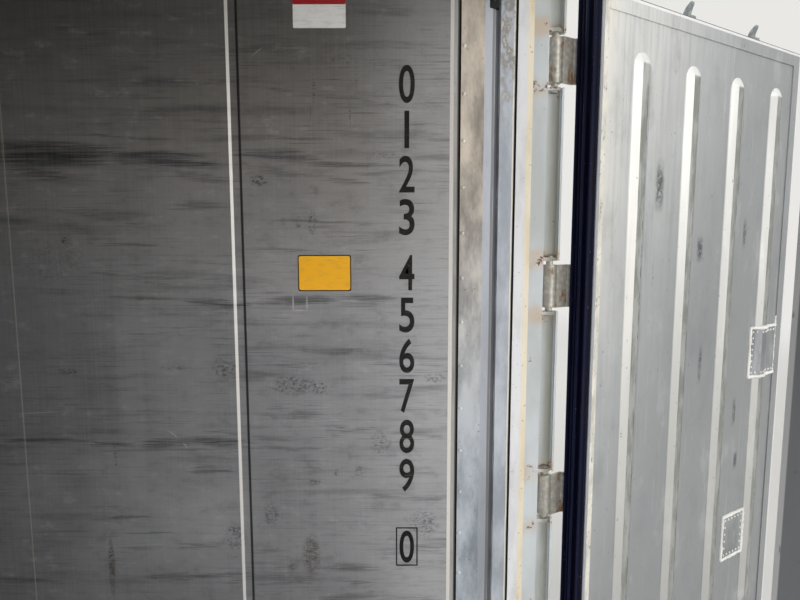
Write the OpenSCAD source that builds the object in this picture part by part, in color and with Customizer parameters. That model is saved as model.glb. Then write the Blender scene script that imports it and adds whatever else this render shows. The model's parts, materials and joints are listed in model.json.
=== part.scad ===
// Insulated shipping container with two hinged doors at its rear end.
//
// It stands on its four bottom corner castings, with the origin on the ground
// under its middle. X runs along its length towards the doors, +Y is the right
// wall as seen from the doors, and Z is up. The right door stands open at its
// rest angle and the left door is shut.

/* [Overall] */
// Length over the corner castings
body_l = 6058; // [5000:1:7600]
// Width over the corner castings
body_w = 2438; // [2200:1:2600]
// Height over the corner castings
body_h = 2591; // [2300:1:2900]

/* [Corner castings] */
// Length of a casting along the container
casting_l = 178; // [170:1:190]
// Width of a casting
casting_w = 162; // [150:1:175]
// Height of a casting
casting_h = 118; // [110:1:125]
// Thickness of a casting's side walls
casting_wall = 14; // [8:1:16]
// Thickness of the plate that takes the twist-lock
casting_plate = 28; // [20:1:30]
// Thickness of the plate at the post
casting_back = 11; // [8:1:14]
// Length of the twist-lock slot
slot_l = 124; // [118:1:126]
// Width of the twist-lock slot
slot_w = 63.5; // [58:0.5:66]
// Slot centre from the end face
slot_from_end = 102.5; // [98:0.5:106]
// Slot centre from the side face
slot_from_side = 89.5; // [86:0.5:94]
// Length of the hole in the side face
side_hole_l = 102; // [90:1:110]
// Height of the hole in the side face
side_hole_h = 70; // [60:1:74]
// Width of the hole in the end face
end_hole_w = 84; // [70:1:90]
// Height of the hole in the end face
end_hole_h = 64; // [56:1:70]

/* [Frame] */
// Step from the casting faces to the outer faces of posts and rails
frame_inset = 7; // [6:1:9]
// Steel thickness of the rear posts, header and sill
rear_steel_t = 6; // [4:1:8]
// Steel thickness of the front frame and the side rails
rail_t = 4; // [3:0.5:6]
// Depth of the front posts along the container
front_post_d = 106; // [90:1:140]
// Flange width of the bottom side rails
bottom_rail_w = 48; // [40:1:60]
// Height of the underside of rails and cross members above the ground
underside_z = 17; // [12.5:0.5:30]
// Step from the casting tops to the top of the roof
roof_drop = 4; // [3:1:10]

/* [Inside] */
// Depth of a side wall, from the casting faces to its lining
wall_depth = 74; // [64:0.5:100]
// Step from the casting tops down to the ceiling
ceiling_drop = 121; // [119:1:160]
// Height of the T-section floor above the ground
floor_z = 225; // [210:1:260]
// Underside of the T-section floor
floor_base_z = 160; // [155:1:170]
// Thickness of the stainless linings
lining_t = 1; // [0.6:0.1:2]
// Distance from the rear face to the end of the side linings
lining_start = 330; // [300:1:400]
// Width of one lining sheet
sheet_w = 1260; // [900:1:1500]
// Groove centre from the rear edge of its sheet
groove_from_edge = 604; // [300:1:700]
// Width of a lining groove at the surface
groove_w = 34; // [20:1:50]
// Width of a lining groove at its bottom
groove_flat = 20; // [10:1:40]
// Depth of a lining groove
groove_depth = 5; // [2:0.5:10]
// Joint between two lining sheets
sheet_gap = 1; // [0.5:0.1:3]

/* [Skins] */
// Step from the casting faces to the side skins
skin_inset = 12; // [10:1:20]
// Thickness of the outer skins
skin_t = 2; // [1:0.5:3]
// Spacing of the swages pressed into the skins
swage_pitch = 412; // [250:1:600]
// Width of a swage
swage_w = 70; // [40:1:120]
// Width of a swage at its bottom
swage_flat = 50; // [20:1:100]
// Depth of a swage
swage_depth = 5; // [2:0.5:8]
// Step from the front casting faces to the front skin
front_skin_inset = 14; // [8:1:20]

/* [Floor] */
// Thickness of the plate that joins the floor sections
tee_base_t = 3; // [2:0.5:5]
// Spacing of the T-sections
tee_pitch = 63; // [50:1:80]
// Width of a T-section's head
tee_head_w = 34; // [25:1:45]
// Thickness of a T-section's head
tee_head_t = 4; // [3:0.5:6]
// Thickness of a T-section's web
tee_web_t = 4; // [3:0.5:6]
// Number of cross members
cross_count = 17; // [10:1:24]
// Height of a cross member
cross_h = 60; // [40:1:62]
// Flange width of a cross member
cross_w = 50; // [40:1:80]

/* [Rear frame] */
// Distance from the rear face to the bottom of the hinge channel
channel_d = 55; // [50:1:60]
// Distance from the rear face to the back of the rear posts
post_d = 141; // [138:1:160]
// Width of the lip along the rear edge of the hinge channel
lip_w = 22; // [16:1:24]
// Step from the lining plane outwards to the post's door face
jamb_step = 15; // [14:1:20]
// Distance from the rear face to the faces of header and sill
recess_d = 62; // [60:1:70]
// Top of the sill above the ground
sill_z = 152; // [140:1:153]
// Step from the casting tops down to the underside of the header
header_drop = 129; // [125:1:150]
// Thickness of the stainless jamb sheet
jamb_t = 2; // [1.5:0.5:3]
// Width of the white seal seat
seat_w = 28; // [20:1:32]
// Thickness of the seal seat
seat_t = 3; // [2:0.5:4]
// Width of the sealant bead beside the seal seat
bead_w = 17; // [8:1:20]
// Distance from the rear face to the post liner
liner_start = 235; // [225:1:260]
// Width of the post liner
liner_w = 65; // [50:1:68]
// Thickness of post liner and lining trim
liner_t = 2; // [1:0.5:3]
// Width of the lining trim
trim_w = 24; // [15:1:24]

/* [Doors] */
// Distance from the rear face to a shut door's outer face
leaf_outer_d = 57; // [56:1:60]
// Distance from the rear face to a shut door's inner face
leaf_inner_d = 127; // [115:1:135]
// Gap between a shut door and the frame around it
leaf_gap = 10; // [8:1:14]
// Half of the gap between the two shut doors
leaf_seam = 8; // [7:1:14]
// Depth of the gasket around a door's edge
gasket_w = 12; // [8:1:16]
// Width of the gasket's flange on a door's inner face
flange_w = 22; // [18:1:30]
// Number of lips on the gasket
lip_count = 5; // [2:1:6]
// Thickness of a gasket lip
gasket_lip_t = 6; // [3:1:8]
// Thickness of the door skin
leaf_skin_t = 2; // [1.5:0.5:4]
// Depth of the skin's turned edge
leaf_return = 20; // [10:1:40]
// Thickness of the ribbed door lining
leaf_lining_t = 4; // [2:1:6]
// Distance from the gasket's outer edge to the ribbed lining
leaf_lining_edge = 28; // [20:1:60]
// Number of ribs on the door lining
rib_count = 4; // [2:1:5]
// Distance from the hinge-side edge of the door lining to the first rib
rib_start = 179; // [120:1:200]
// Spacing of the door lining's ribs
rib_pitch = 258; // [150:1:270]
// Distance from the lining's top and bottom to the ends of the ribs
rib_end = 115; // [80:1:200]
// Width of a rib at the panel
rib_w = 84; // [60:1:96]
// Width of a rib at its crest
rib_crest_w = 30; // [16:1:50]
// Height of a rib
rib_h = 14; // [8:1:18]
// Width of the flat trim around the door lining
leaf_trim_w = 29; // [15:1:36]
// Thickness of that trim
leaf_trim_t = 2; // [1:0.5:4]
// Angle of the right door in the rest pose, from shut
rest_open = 122; // [0:1:264]

/* [Hinges] */
// Hinge axis from the rear face
axis_d = 27; // [25:1:30]
// Hinge axis from the side face
axis_from_side = 19; // [18:1:22]
// Number of hinges on each door
hinge_count = 4; // [2:1:6]
// Centre of the lowest hinge above the door's bottom edge
hinge_low = 178; // [120:1:300]
// Centre of the highest hinge below the door's top edge
hinge_high = 184; // [120:1:300]
// Diameter of a hinge knuckle
knuckle_dia = 36; // [28:1:36]
// Length of a hinge knuckle
knuckle_h = 127; // [80:1:140]
// Height of the opening for a hinge in the channel
hinge_window = 150; // [140:1:170]
// Thickness of a lug plate
lug_t = 10; // [6:1:14]
// Diameter of the hinge pin
pin_dia = 20; // [14:1:24]
// Radial clearance of pins and rods
turn_gap = 0.5; // [0.2:0.1:1]
// Gap between a blade and the bottom of the hinge channel
root_gap = 5; // [5:0.5:6]
// Thickness of a hinge blade
blade_t = 8; // [6:1:9]
// Reach of a hinge blade over the door
blade_l = 210; // [120:1:260]

/* [Lock gear] */
// Diameter of a lock rod
rod_dia = 33; // [27:1:34]
// First lock rod from the hinge axis
rod_first = 605; // [560:1:640]
// Second lock rod from the hinge axis
rod_second = 1012; // [990:1:1040]
// Gap between a lock rod and the door skin
rod_gap = 5; // [4:1:6]
// Length by which a rod passes the door edge
rod_over = 50; // [44:1:60]
// Number of brackets on a rod
bracket_count = 4; // [3:1:6]
// Height of a bracket
bracket_h = 46; // [30:1:70]
// Width of a bracket's foot
bracket_w = 92; // [70:1:120]
// Thickness of a bracket
bracket_t = 5; // [4:1:8]
// Height of the handles above the ground
handle_z = 1180; // [900:1:1500]
// Height between the two handles of a door
handle_step = 150; // [80:1:250]
// Length of a handle
handle_l = 350; // [300:1:360]
// Height of a handle bar
handle_h = 32; // [20:1:45]
// Thickness of a handle bar
handle_t = 10; // [6:1:12]
// Width of a cam
cam_w = 46; // [36:1:50]
// Height of a cam
cam_h = 26; // [16:1:34]
// Height of the curved horn on a cam
horn_h = 52; // [40:1:56]
// Width of that horn across the door
horn_w = 18; // [12:1:24]
// Gap between a cam and the keeper plates beside it
keeper_gap = 11; // [8:1:16]
// Thickness of a keeper plate
keeper_t = 10; // [6:1:14]
// Height of a keeper
keeper_h = 60; // [40:1:66]

/* [Hidden] */
$fn = 48;

rear_x = body_l / 2;
front_x = -body_l / 2;
half_w = body_w / 2;
inside_y = half_w - wall_depth;

casting_top = casting_h;
upper_z = body_h - casting_h;
ceiling_z = body_h - ceiling_drop;
header_z = body_h - header_drop;
frame_y = half_w - frame_inset;
between_castings = half_w - casting_w;
frame_in_y = inside_y + lining_t;
roof_z = body_h - roof_drop;
front_in_x = front_x + frame_inset + front_post_d;
post_x = rear_x - post_d;
jamb_y = inside_y + jamb_step;
skin_y = half_w - skin_inset;
rail_in_y = frame_y - bottom_rail_w;

axis_x = rear_x - axis_d;
axis_y = half_w - axis_from_side;
leaf_y = jamb_y - leaf_gap;
leaf_z0 = sill_z + leaf_gap - 2;
leaf_z1 = header_z - leaf_gap + 2;
leaf_outer_x = rear_x - leaf_outer_d;
leaf_inner_x = rear_x - leaf_inner_d;
hinge_z0 = leaf_z0 + hinge_low;
hinge_pitch = (leaf_z1 - hinge_high - hinge_z0) / (hinge_count - 1);
hinge_zs = [for (i = [0:hinge_count - 1]) hinge_z0 + i * hinge_pitch];
window_zs = [for (z = hinge_zs) z - hinge_window / 2];
pin_proud = 4;
pin_h = hinge_window + 2 * lug_t + 2 * pin_proud;
lining_y1 = leaf_y - leaf_lining_edge;
lining_z0 = leaf_z0 + flange_w + 16;
lining_z1 = leaf_z1 - flange_w - 6;

rod_x = leaf_outer_x + rod_gap + rod_dia / 2;
rod_ys = [axis_y - rod_first, axis_y - rod_second];
rod_z0 = leaf_z0 - rod_over;
rod_z1 = leaf_z1 + rod_over;

jamb_edge_gap = 6;
jamb_flat_w = 42;
jamb_face_d = post_d + jamb_edge_gap;
jamb_groove_d = jamb_face_d + jamb_flat_w;
jamb_groove_w = 14;
jamb_groove_depth = 12;
jamb_slope_d = jamb_groove_d + jamb_groove_w;
jamb_bend = 5;
jamb_rise = 3;
jamb_lap = 6;
header_rise = 3;
ramp_d = 205;
ramp_end_d = 242;
ramp_z = 182;
ramp_t = 4;
horn_gap = 7;
overcut = 1;

// Colours as they show on the object
frame_grey = [0.62, 0.64, 0.63];
channel_grey = [0.70, 0.70, 0.66];
stainless = [0.60, 0.60, 0.59];
liner_steel = [0.66, 0.64, 0.62];
panel_white = [0.84, 0.85, 0.84];
skin_white = [0.80, 0.81, 0.80];
foam = [0.85, 0.78, 0.58];
seat_white = [0.91, 0.91, 0.91];
sealant_cream = [0.91, 0.85, 0.72];
gasket_navy = [0.10, 0.10, 0.19];
aluminium = [0.72, 0.73, 0.74];
galvanised = [0.58, 0.60, 0.61];

// Folded sheets, from the line of one face

function unit(v) = v / norm(v);
function normal(a, b) = let (u = unit(b - a)) [-u[1], u[0]];
function corner_shift(n1, n2) = (n1 + n2) / (1 + n1 * n2);
function offset_path(p, t) = [
    for (i = [0:len(p) - 1])
        let (
            last = len(p) - 1,
            n1 = i > 0 ? normal(p[i - 1], p[i]) : normal(p[0], p[1]),
            n2 = i < last ? normal(p[i], p[i + 1]) : n1
        )
        p[i] + t * corner_shift(n1, n2)
];
function reversed(p) = [for (i = [len(p) - 1:-1:0]) p[i]];

module folded_sheet(path, t) {
    polygon(concat(path, reversed(offset_path(path, t))));
}

// A line towards -X with a trapezoid groove at each centre

function grooved_line(x0, x1, y, centres, w, flat, depth) = concat(
    [[x0, y]],
    [for (c = centres) each [
        [c + w / 2, y],
        [c + flat / 2, y + depth],
        [c - flat / 2, y + depth],
        [c - w / 2, y],
    ]],
    [[x1, y]]
);

module both_sides() {
    children();
    mirror([0, 1, 0]) children();
}

module both_ends() {
    children();
    mirror([1, 0, 0]) children();
}

module block(x0, x1, y0, y1, z0, z1) {
    translate([x0, y0, z0]) cube([x1 - x0, y1 - y0, z1 - z0]);
}

// A plan outline raised from z0 to z1

module upright(z0, z1) {
    translate([0, 0, z0]) linear_extrude(z1 - z0) children();
}

// A section in Y and Z run along the container from x0 to x1

module lengthwise(x0, x1) {
    translate([x0, 0, 0]) rotate([90, 0, 90]) linear_extrude(x1 - x0) children();
}

// A section in X and Z run across the container from y0 to y1

module crosswise(y0, y1) {
    translate([0, y1, 0]) rotate([90, 0, 0]) linear_extrude(y1 - y0) children();
}

module box_section(a0, a1, b0, b1, t) {
    difference() {
        translate([a0, b0]) square([a1 - a0, b1 - b0]);
        translate([a0 + t, b0 + t]) square([a1 - a0 - 2 * t, b1 - b0 - 2 * t]);
    }
}

module slot_outline(l, w) {
    translate([-(l - w) / 2, -w / 2]) square([l - w, w]);
    translate([-(l - w) / 2, 0]) circle(d = w);
    translate([(l - w) / 2, 0]) circle(d = w);
}

// Corner castings

module casting() {
    cavity_h = casting_h - casting_plate - casting_back;
    hole_z = casting_plate + cavity_h / 2;
    slot_x = rear_x - slot_from_end;
    slot_y = half_w - slot_from_side;
    difference() {
        block(rear_x - casting_l, rear_x, half_w - casting_w, half_w, 0, casting_h);
        block(
            rear_x - casting_l + casting_wall, rear_x - casting_wall,
            half_w - casting_w + casting_wall, half_w - casting_wall,
            casting_plate, casting_plate + cavity_h
        );
        translate([slot_x, slot_y, -overcut])
            linear_extrude(casting_plate + 2 * overcut) slot_outline(slot_l, slot_w);
        translate([slot_x, half_w + overcut, hole_z]) rotate([90, 0, 0])
            linear_extrude(casting_wall + 2 * overcut) slot_outline(side_hole_l, side_hole_h);
        translate([rear_x - casting_wall - overcut, slot_y, hole_z]) rotate([90, 0, 90])
            linear_extrude(casting_wall + 2 * overcut) slot_outline(end_hole_w, end_hole_h);
    }
}

module bottom_corner_castings() {
    color(frame_grey) both_ends() both_sides() casting();
}

module top_castings() {
    translate([0, 0, body_h]) mirror([0, 0, 1]) both_sides() casting();
}

module top_rear_castings() {
    color(frame_grey) top_castings();
}

module top_front_castings() {
    color(frame_grey) mirror([1, 0, 0]) top_castings();
}

// Space taken by the castings of one level, cut from what passes them

module casting_space(z0, z1) {
    both_ends() both_sides()
        block(rear_x - casting_l, rear_x + overcut, between_castings, half_w + overcut, z0, z1);
}

// Rear frame

module hinge_channel() {
    lip_in_y = frame_y - lip_w;
    difference() {
        union() {
            block(rear_x - channel_d, rear_x, frame_y - rear_steel_t, frame_y, casting_top, upper_z);
            block(rear_x - rear_steel_t, rear_x, lip_in_y, frame_y, casting_top, upper_z);
        }
        for (z = window_zs)
            block(
                rear_x - channel_d, rear_x + overcut, lip_in_y - overcut, frame_y + overcut,
                z, z + hinge_window
            );
    }
}

module lug_plate() {
    upright(0, lug_t) union() {
        translate([axis_x, axis_y]) circle(d = knuckle_dia);
        translate([rear_x - channel_d, axis_y - knuckle_dia / 2])
            square([channel_d - axis_d, knuckle_dia / 2 + frame_y - axis_y]);
        translate([axis_x, axis_y]) square([axis_d - rear_steel_t, frame_y - axis_y]);
    }
}

module rear_post() {
    upright(casting_top, upper_z)
        box_section(post_x, rear_x - channel_d, jamb_y, frame_y, rear_steel_t);
    difference() {
        union() {
            hinge_channel();
            for (z = window_zs) {
                translate([0, 0, z - lug_t]) lug_plate();
                translate([0, 0, z + hinge_window]) lug_plate();
            }
        }
        for (z = hinge_zs) translate([axis_x, axis_y, z])
            cylinder(d = pin_dia, h = pin_h + 2 * overcut, center = true);
    }
}

module right_rear_post() {
    color(channel_grey) rear_post();
}

module left_rear_post() {
    color(channel_grey) mirror([0, 1, 0]) rear_post();
}

module rear_header() {
    color(frame_grey) union() {
        crosswise(-between_castings, between_castings)
            box_section(post_x, rear_x - recess_d, upper_z, roof_z - skin_t, rear_steel_t);
        block(post_x, rear_x - recess_d, -jamb_y, jamb_y, header_z, upper_z);
    }
}

module rear_sill() {
    color(frame_grey) union() {
        crosswise(-between_castings, between_castings)
            box_section(post_x, rear_x - recess_d, underside_z, casting_top, rear_steel_t);
        crosswise(-jamb_y, jamb_y)
            box_section(post_x, rear_x - recess_d, casting_top, sill_z, rear_steel_t);
    }
}

// Front frame

module front_posts() {
    color(frame_grey) both_sides() upright(casting_top, upper_z)
        box_section(front_x + frame_inset, front_in_x, frame_in_y, frame_y, rail_t);
}

module front_header() {
    color(frame_grey) crosswise(-between_castings, between_castings)
        box_section(front_x + frame_inset, front_in_x, upper_z, roof_z - skin_t, rail_t);
}

module front_sill() {
    color(frame_grey) crosswise(-between_castings, between_castings)
        box_section(front_x + frame_inset, front_in_x, underside_z, casting_top, rail_t);
}

// Side rails

module top_side_rails() {
    color(frame_grey) both_sides() lengthwise(front_x + casting_l, rear_x - casting_l)
        box_section(frame_in_y, frame_y, upper_z, roof_z - skin_t, rail_t);
}

module bottom_side_rails() {
    channel = [
        [rail_in_y, underside_z],
        [frame_y, underside_z],
        [frame_y, casting_top],
        [rail_in_y, casting_top],
    ];
    color(frame_grey) both_sides() lengthwise(front_x + casting_l, rear_x - casting_l)
        folded_sheet(channel, rail_t);
}

// Floor

module cross_members() {
    span = post_x - front_in_x;
    z0 = underside_z + rail_t;
    channel = [[cross_w, z0], [0, z0], [0, z0 + cross_h], [cross_w, z0 + cross_h]];
    color(frame_grey) for (i = [1:cross_count])
        translate([front_in_x + i * span / (cross_count + 1) - cross_w / 2, 0, 0])
            crosswise(rail_t - frame_y, frame_y - rail_t) folded_sheet(channel, -rail_t);
}

module underfloor_sheet() {
    z0 = underside_z + rail_t + cross_h;
    color(galvanised) difference() {
        block(front_in_x, post_x, -rail_in_y, rail_in_y, z0, z0 + skin_t);
        casting_space(z0 - overcut, casting_top);
    }
}

module floor_core() {
    z0 = underside_z + rail_t + cross_h + skin_t;
    color(foam) difference() {
        lengthwise(front_in_x, post_x) union() {
            translate([-rail_in_y, z0]) square([2 * rail_in_y, casting_top - z0]);
            translate([-frame_in_y, casting_top - overcut])
                square([2 * frame_in_y, floor_base_z - casting_top + overcut]);
        }
        casting_space(z0 - overcut, casting_top);
    }
}

module floor_tees() {
    half = inside_y;
    count = floor((2 * inside_y - tee_head_w) / tee_pitch) + 1;
    first = -(count - 1) * tee_pitch / 2;
    x0 = front_in_x + lining_t;
    x1 = rear_x - liner_start - liner_w - overcut;
    color(aluminium) lengthwise(x0, x1) union() {
        translate([-half, floor_base_z]) square([2 * half, tee_base_t]);
        for (i = [0:count - 1])
            translate([first + i * tee_pitch, 0]) {
                translate([-tee_web_t / 2, floor_base_z]) square([tee_web_t, floor_z - floor_base_z]);
                translate([-tee_head_w / 2, floor_z - tee_head_t]) square([tee_head_w, tee_head_t]);
            }
    }
}

module threshold() {
    end_d = liner_start + liner_w;
    ramp = [
        [rear_x - post_d, floor_base_z],
        [rear_x - post_d, ramp_z],
        [rear_x - ramp_d, ramp_z],
        [rear_x - ramp_end_d, floor_z],
        [rear_x - end_d, floor_z],
        [rear_x - end_d, floor_base_z],
    ];
    color(aluminium) crosswise(-inside_y, inside_y) folded_sheet(ramp, ramp_t);
}

// Walls

function sheet_edges(x0, x1) = [for (x = [x0:-sheet_w:x1]) x];
function swage_centres(x0, x1) = [for (x = [x0 - swage_pitch / 2:-swage_pitch:x1 + swage_w]) x];

function jamb_line() = [
    [rear_x - jamb_face_d, jamb_y],
    [rear_x - jamb_groove_d, jamb_y],
    [rear_x - jamb_groove_d, jamb_y + jamb_groove_depth],
    [rear_x - jamb_slope_d, jamb_y + jamb_groove_depth],
    [rear_x - jamb_slope_d, jamb_y + jamb_rise],
    [rear_x - liner_start + jamb_bend, inside_y + jamb_rise],
    [rear_x - liner_start, inside_y],
    [rear_x - liner_start - jamb_lap, inside_y],
];

function lining_groove_centres() = [
    for (x = sheet_edges(rear_x - lining_start, front_in_x))
        if (x - groove_from_edge - groove_w > front_in_x) x - groove_from_edge
];

function side_skin_line() = grooved_line(
    post_x, front_in_x, skin_y, swage_centres(post_x, front_in_x), swage_w, swage_flat, -swage_depth
);

module wall_skin() {
    upright(casting_top, upper_z) folded_sheet(side_skin_line(), skin_t);
}

module wall_lining() {
    edges = sheet_edges(rear_x - lining_start, front_in_x);
    upright(floor_base_z, ceiling_z) for (x = edges) {
        x1 = max(x - sheet_w + sheet_gap, front_in_x + lining_t);
        has_groove = x - groove_from_edge - groove_w > front_in_x;
        centres = has_groove ? [x - groove_from_edge] : [];
        folded_sheet(
            grooved_line(x, x1, inside_y, centres, groove_w, groove_flat, groove_depth),
            -lining_t
        );
    }
}

// The insulation fills the wall between the back of the skin and the backs of jamb and lining

module wall_core() {
    outer = offset_path(side_skin_line(), skin_t);
    jamb_back = offset_path(jamb_line(), -jamb_t);
    lap_end = rear_x - liner_start - jamb_lap;
    lining = grooved_line(
        lap_end, front_in_x, inside_y, lining_groove_centres(), groove_w, groove_flat, groove_depth
    );
    upright(casting_top, upper_z) polygon(concat(
        outer,
        reversed(offset_path(lining, -lining_t)),
        reversed(jamb_back),
        [[post_x, jamb_y + jamb_t]]
    ));
}

module right_wall_skin() {
    color(skin_white) wall_skin();
}

module right_wall_core() {
    color(foam) wall_core();
}

module right_wall_lining() {
    color(stainless) wall_lining();
}

module left_wall_skin() {
    color(skin_white) mirror([0, 1, 0]) wall_skin();
}

module left_wall_core() {
    color(foam) mirror([0, 1, 0]) wall_core();
}

module left_wall_lining() {
    color(stainless) mirror([0, 1, 0]) wall_lining();
}

function front_skin_line() = [
    for (p = grooved_line(
        frame_in_y, -frame_in_y, front_x + front_skin_inset,
        swage_centres(frame_in_y, -frame_in_y), swage_w, swage_flat, swage_depth
    )) [p[1], p[0]]
];

module front_wall_skin() {
    color(skin_white) upright(casting_top, upper_z) folded_sheet(front_skin_line(), skin_t);
}

module front_wall_core() {
    back = offset_path(front_skin_line(), skin_t);
    color(foam) upright(casting_top, upper_z)
        polygon(concat(back, [[front_in_x, -frame_in_y], [front_in_x, frame_in_y]]));
}

module front_wall_lining() {
    color(stainless)
        block(front_in_x, front_in_x + lining_t, -inside_y, inside_y, floor_base_z, ceiling_z);
}

// Roof

module roof_skin() {
    color(skin_white) difference() {
        block(
            front_x + frame_inset, rear_x - recess_d, -frame_y, frame_y,
            roof_z - skin_t, roof_z
        );
        casting_space(roof_z - skin_t - overcut, roof_z + overcut);
    }
}

module roof_core() {
    color(foam) difference() {
        block(
            front_in_x, post_x, -frame_in_y, frame_in_y,
            ceiling_z + lining_t, roof_z - skin_t
        );
        casting_space(ceiling_z, roof_z);
    }
}

module ceiling_lining() {
    color(panel_white) block(
        front_in_x, rear_x - liner_start, -inside_y, inside_y,
        ceiling_z, ceiling_z + lining_t
    );
}

// Door opening

module door_jambs() {
    color(stainless) both_sides() upright(floor_base_z, ceiling_z) folded_sheet(jamb_line(), -jamb_t);
}

module header_jamb() {
    line = [
        [rear_x - jamb_face_d, header_z],
        [rear_x - jamb_groove_d, header_z + header_rise],
        [rear_x - liner_start, ceiling_z + lining_t - jamb_t],
    ];
    color(stainless) crosswise(-inside_y, inside_y) folded_sheet(line, -jamb_t);
}

module seal_seats() {
    seat_d = post_d - seat_w;
    color(seat_white) both_sides() block(
        post_x, rear_x - seat_d, jamb_y - seat_t, jamb_y, sill_z, header_z
    );
}

module sealant_beads() {
    bead_x = post_x + seat_w;
    color(sealant_cream) both_sides() upright(sill_z, header_z) polygon([
        [bead_x, jamb_y],
        [bead_x, jamb_y - seat_t],
        [bead_x + bead_w, jamb_y],
    ]);
}

module post_liners() {
    x0 = rear_x - liner_start - liner_w;
    color(liner_steel) both_sides()
        block(x0, x0 + liner_w, inside_y - liner_t, inside_y, floor_z, ceiling_z);
}

module lining_trims() {
    x1 = rear_x - lining_start;
    bevel = 10;
    color(stainless) both_sides() upright(floor_z, ceiling_z) polygon([
        [x1, inside_y],
        [x1 + bevel, inside_y - liner_t],
        [x1 + trim_w, inside_y - liner_t],
        [x1 + trim_w, inside_y + lining_t],
        [x1, inside_y + lining_t],
    ]);
}

// Hinges

module hinge_pins() {
    color(galvanised) both_sides() for (z = hinge_zs)
        translate([axis_x, axis_y, z]) cylinder(d = pin_dia, h = pin_h, center = true);
}

// A blade in plan: the knuckle, the root inside the channel, the crank and the plate on the door

module blade_outline() {
    root_x = rear_x - channel_d + root_gap;
    crank_l = 10;
    tangent_y = axis_y - knuckle_dia / 4;
    end_y = axis_y - blade_l;
    translate([axis_x, axis_y]) circle(d = knuckle_dia);
    polygon([
        [axis_x, axis_y],
        [root_x, tangent_y],
        [root_x, leaf_y],
        [leaf_outer_x, leaf_y - crank_l],
        [leaf_outer_x, end_y],
        [leaf_outer_x + blade_t, end_y],
        [leaf_outer_x + blade_t, leaf_y - crank_l],
        [root_x + blade_t, leaf_y],
        [root_x + blade_t, tangent_y],
    ]);
}

module door_hinges() {
    for (z = hinge_zs) difference() {
        upright(z - knuckle_h / 2, z + knuckle_h / 2) blade_outline();
        translate([axis_x, axis_y, z])
            cylinder(d = pin_dia + 2 * turn_gap, h = knuckle_h + 2 * overcut, center = true);
    }
}

// Door leaf, drawn shut on the right side

module leaf_block(in, d0, d1) {
    block(
        rear_x - d1, rear_x - d0,
        leaf_seam + in, leaf_y - in, leaf_z0 + in, leaf_z1 - in
    );
}

module door_skin() {
    difference() {
        leaf_block(gasket_w, leaf_outer_d, leaf_outer_d + leaf_return);
        leaf_block(
            gasket_w + leaf_skin_t,
            leaf_outer_d + leaf_skin_t, leaf_outer_d + leaf_return + overcut
        );
    }
}

module door_core() {
    leaf_block(gasket_w + leaf_skin_t, leaf_outer_d + leaf_skin_t, leaf_inner_d - leaf_lining_t);
}

module lipped_gasket() {
    seal_d0 = leaf_outer_d + leaf_skin_t;
    lip_pitch = (leaf_inner_d - seal_d0 - gasket_lip_t) / (lip_count - 1);
    difference() {
        union() {
            leaf_block(gasket_w / 2, seal_d0, leaf_inner_d);
            for (i = [0:lip_count - 1])
                leaf_block(0, seal_d0 + i * lip_pitch, seal_d0 + i * lip_pitch + gasket_lip_t);
        }
        leaf_block(gasket_w, seal_d0 - overcut, leaf_outer_d + leaf_return);
        leaf_block(gasket_w + leaf_skin_t, seal_d0 - overcut, leaf_inner_d - leaf_lining_t);
        leaf_block(flange_w, seal_d0, leaf_inner_d + overcut);
    }
}

// A rib stands on the panel with sloped sides and round, sloped ends

module lining_rib(l) {
    section = [[-rib_w / 2, 0], [rib_w / 2, 0], [rib_crest_w / 2, rib_h], [-rib_crest_w / 2, rib_h]];
    half_section = [[0, 0], [rib_w / 2, 0], [rib_crest_w / 2, rib_h], [0, rib_h]];
    straight = l - rib_w;
    translate([0, -straight / 2, 0]) rotate([90, 0, 180]) linear_extrude(straight) polygon(section);
    translate([0, -straight / 2, 0]) rotate_extrude() polygon(half_section);
    translate([0, straight / 2, 0]) rotate_extrude() polygon(half_section);
}

module door_lining() {
    inner = leaf_inner_d - leaf_lining_t;
    mid_z = (lining_z0 + lining_z1) / 2;
    rib_l = lining_z1 - lining_z0 - 2 * rib_end;
    union() {
        leaf_block(flange_w, inner, leaf_inner_d);
        difference() {
            leaf_block(flange_w, inner, leaf_inner_d + leaf_trim_t);
            leaf_block(flange_w + leaf_trim_w, leaf_inner_d, leaf_inner_d + leaf_trim_t + overcut);
        }
        for (i = [0:rib_count - 1])
            translate([leaf_inner_x, lining_y1 - rib_start - i * rib_pitch, mid_z])
                rotate([90, 0, -90]) lining_rib(rib_l);
    }
}

// Lock gear

// A horn rises from the cam and curves towards the frame, tapering to its tip

function arc_radius(run, rise) = (run * run + rise * rise) / (2 * run);

module cam_horn() {
    foot_out = 12;
    foot_in = -8;
    tip_t = 8;
    reach = rod_x - rear_x + recess_d - horn_gap;
    outer_r = arc_radius(reach + foot_out, horn_h);
    inner_r = arc_radius(reach + foot_in, horn_h - tip_t);
    intersection() {
        translate([-reach, 0]) square([reach + foot_out, horn_h]);
        difference() {
            translate([foot_out - outer_r, 0]) circle(r = outer_r);
            translate([foot_in - inner_r, 0]) circle(r = inner_r);
        }
    }
}

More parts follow.
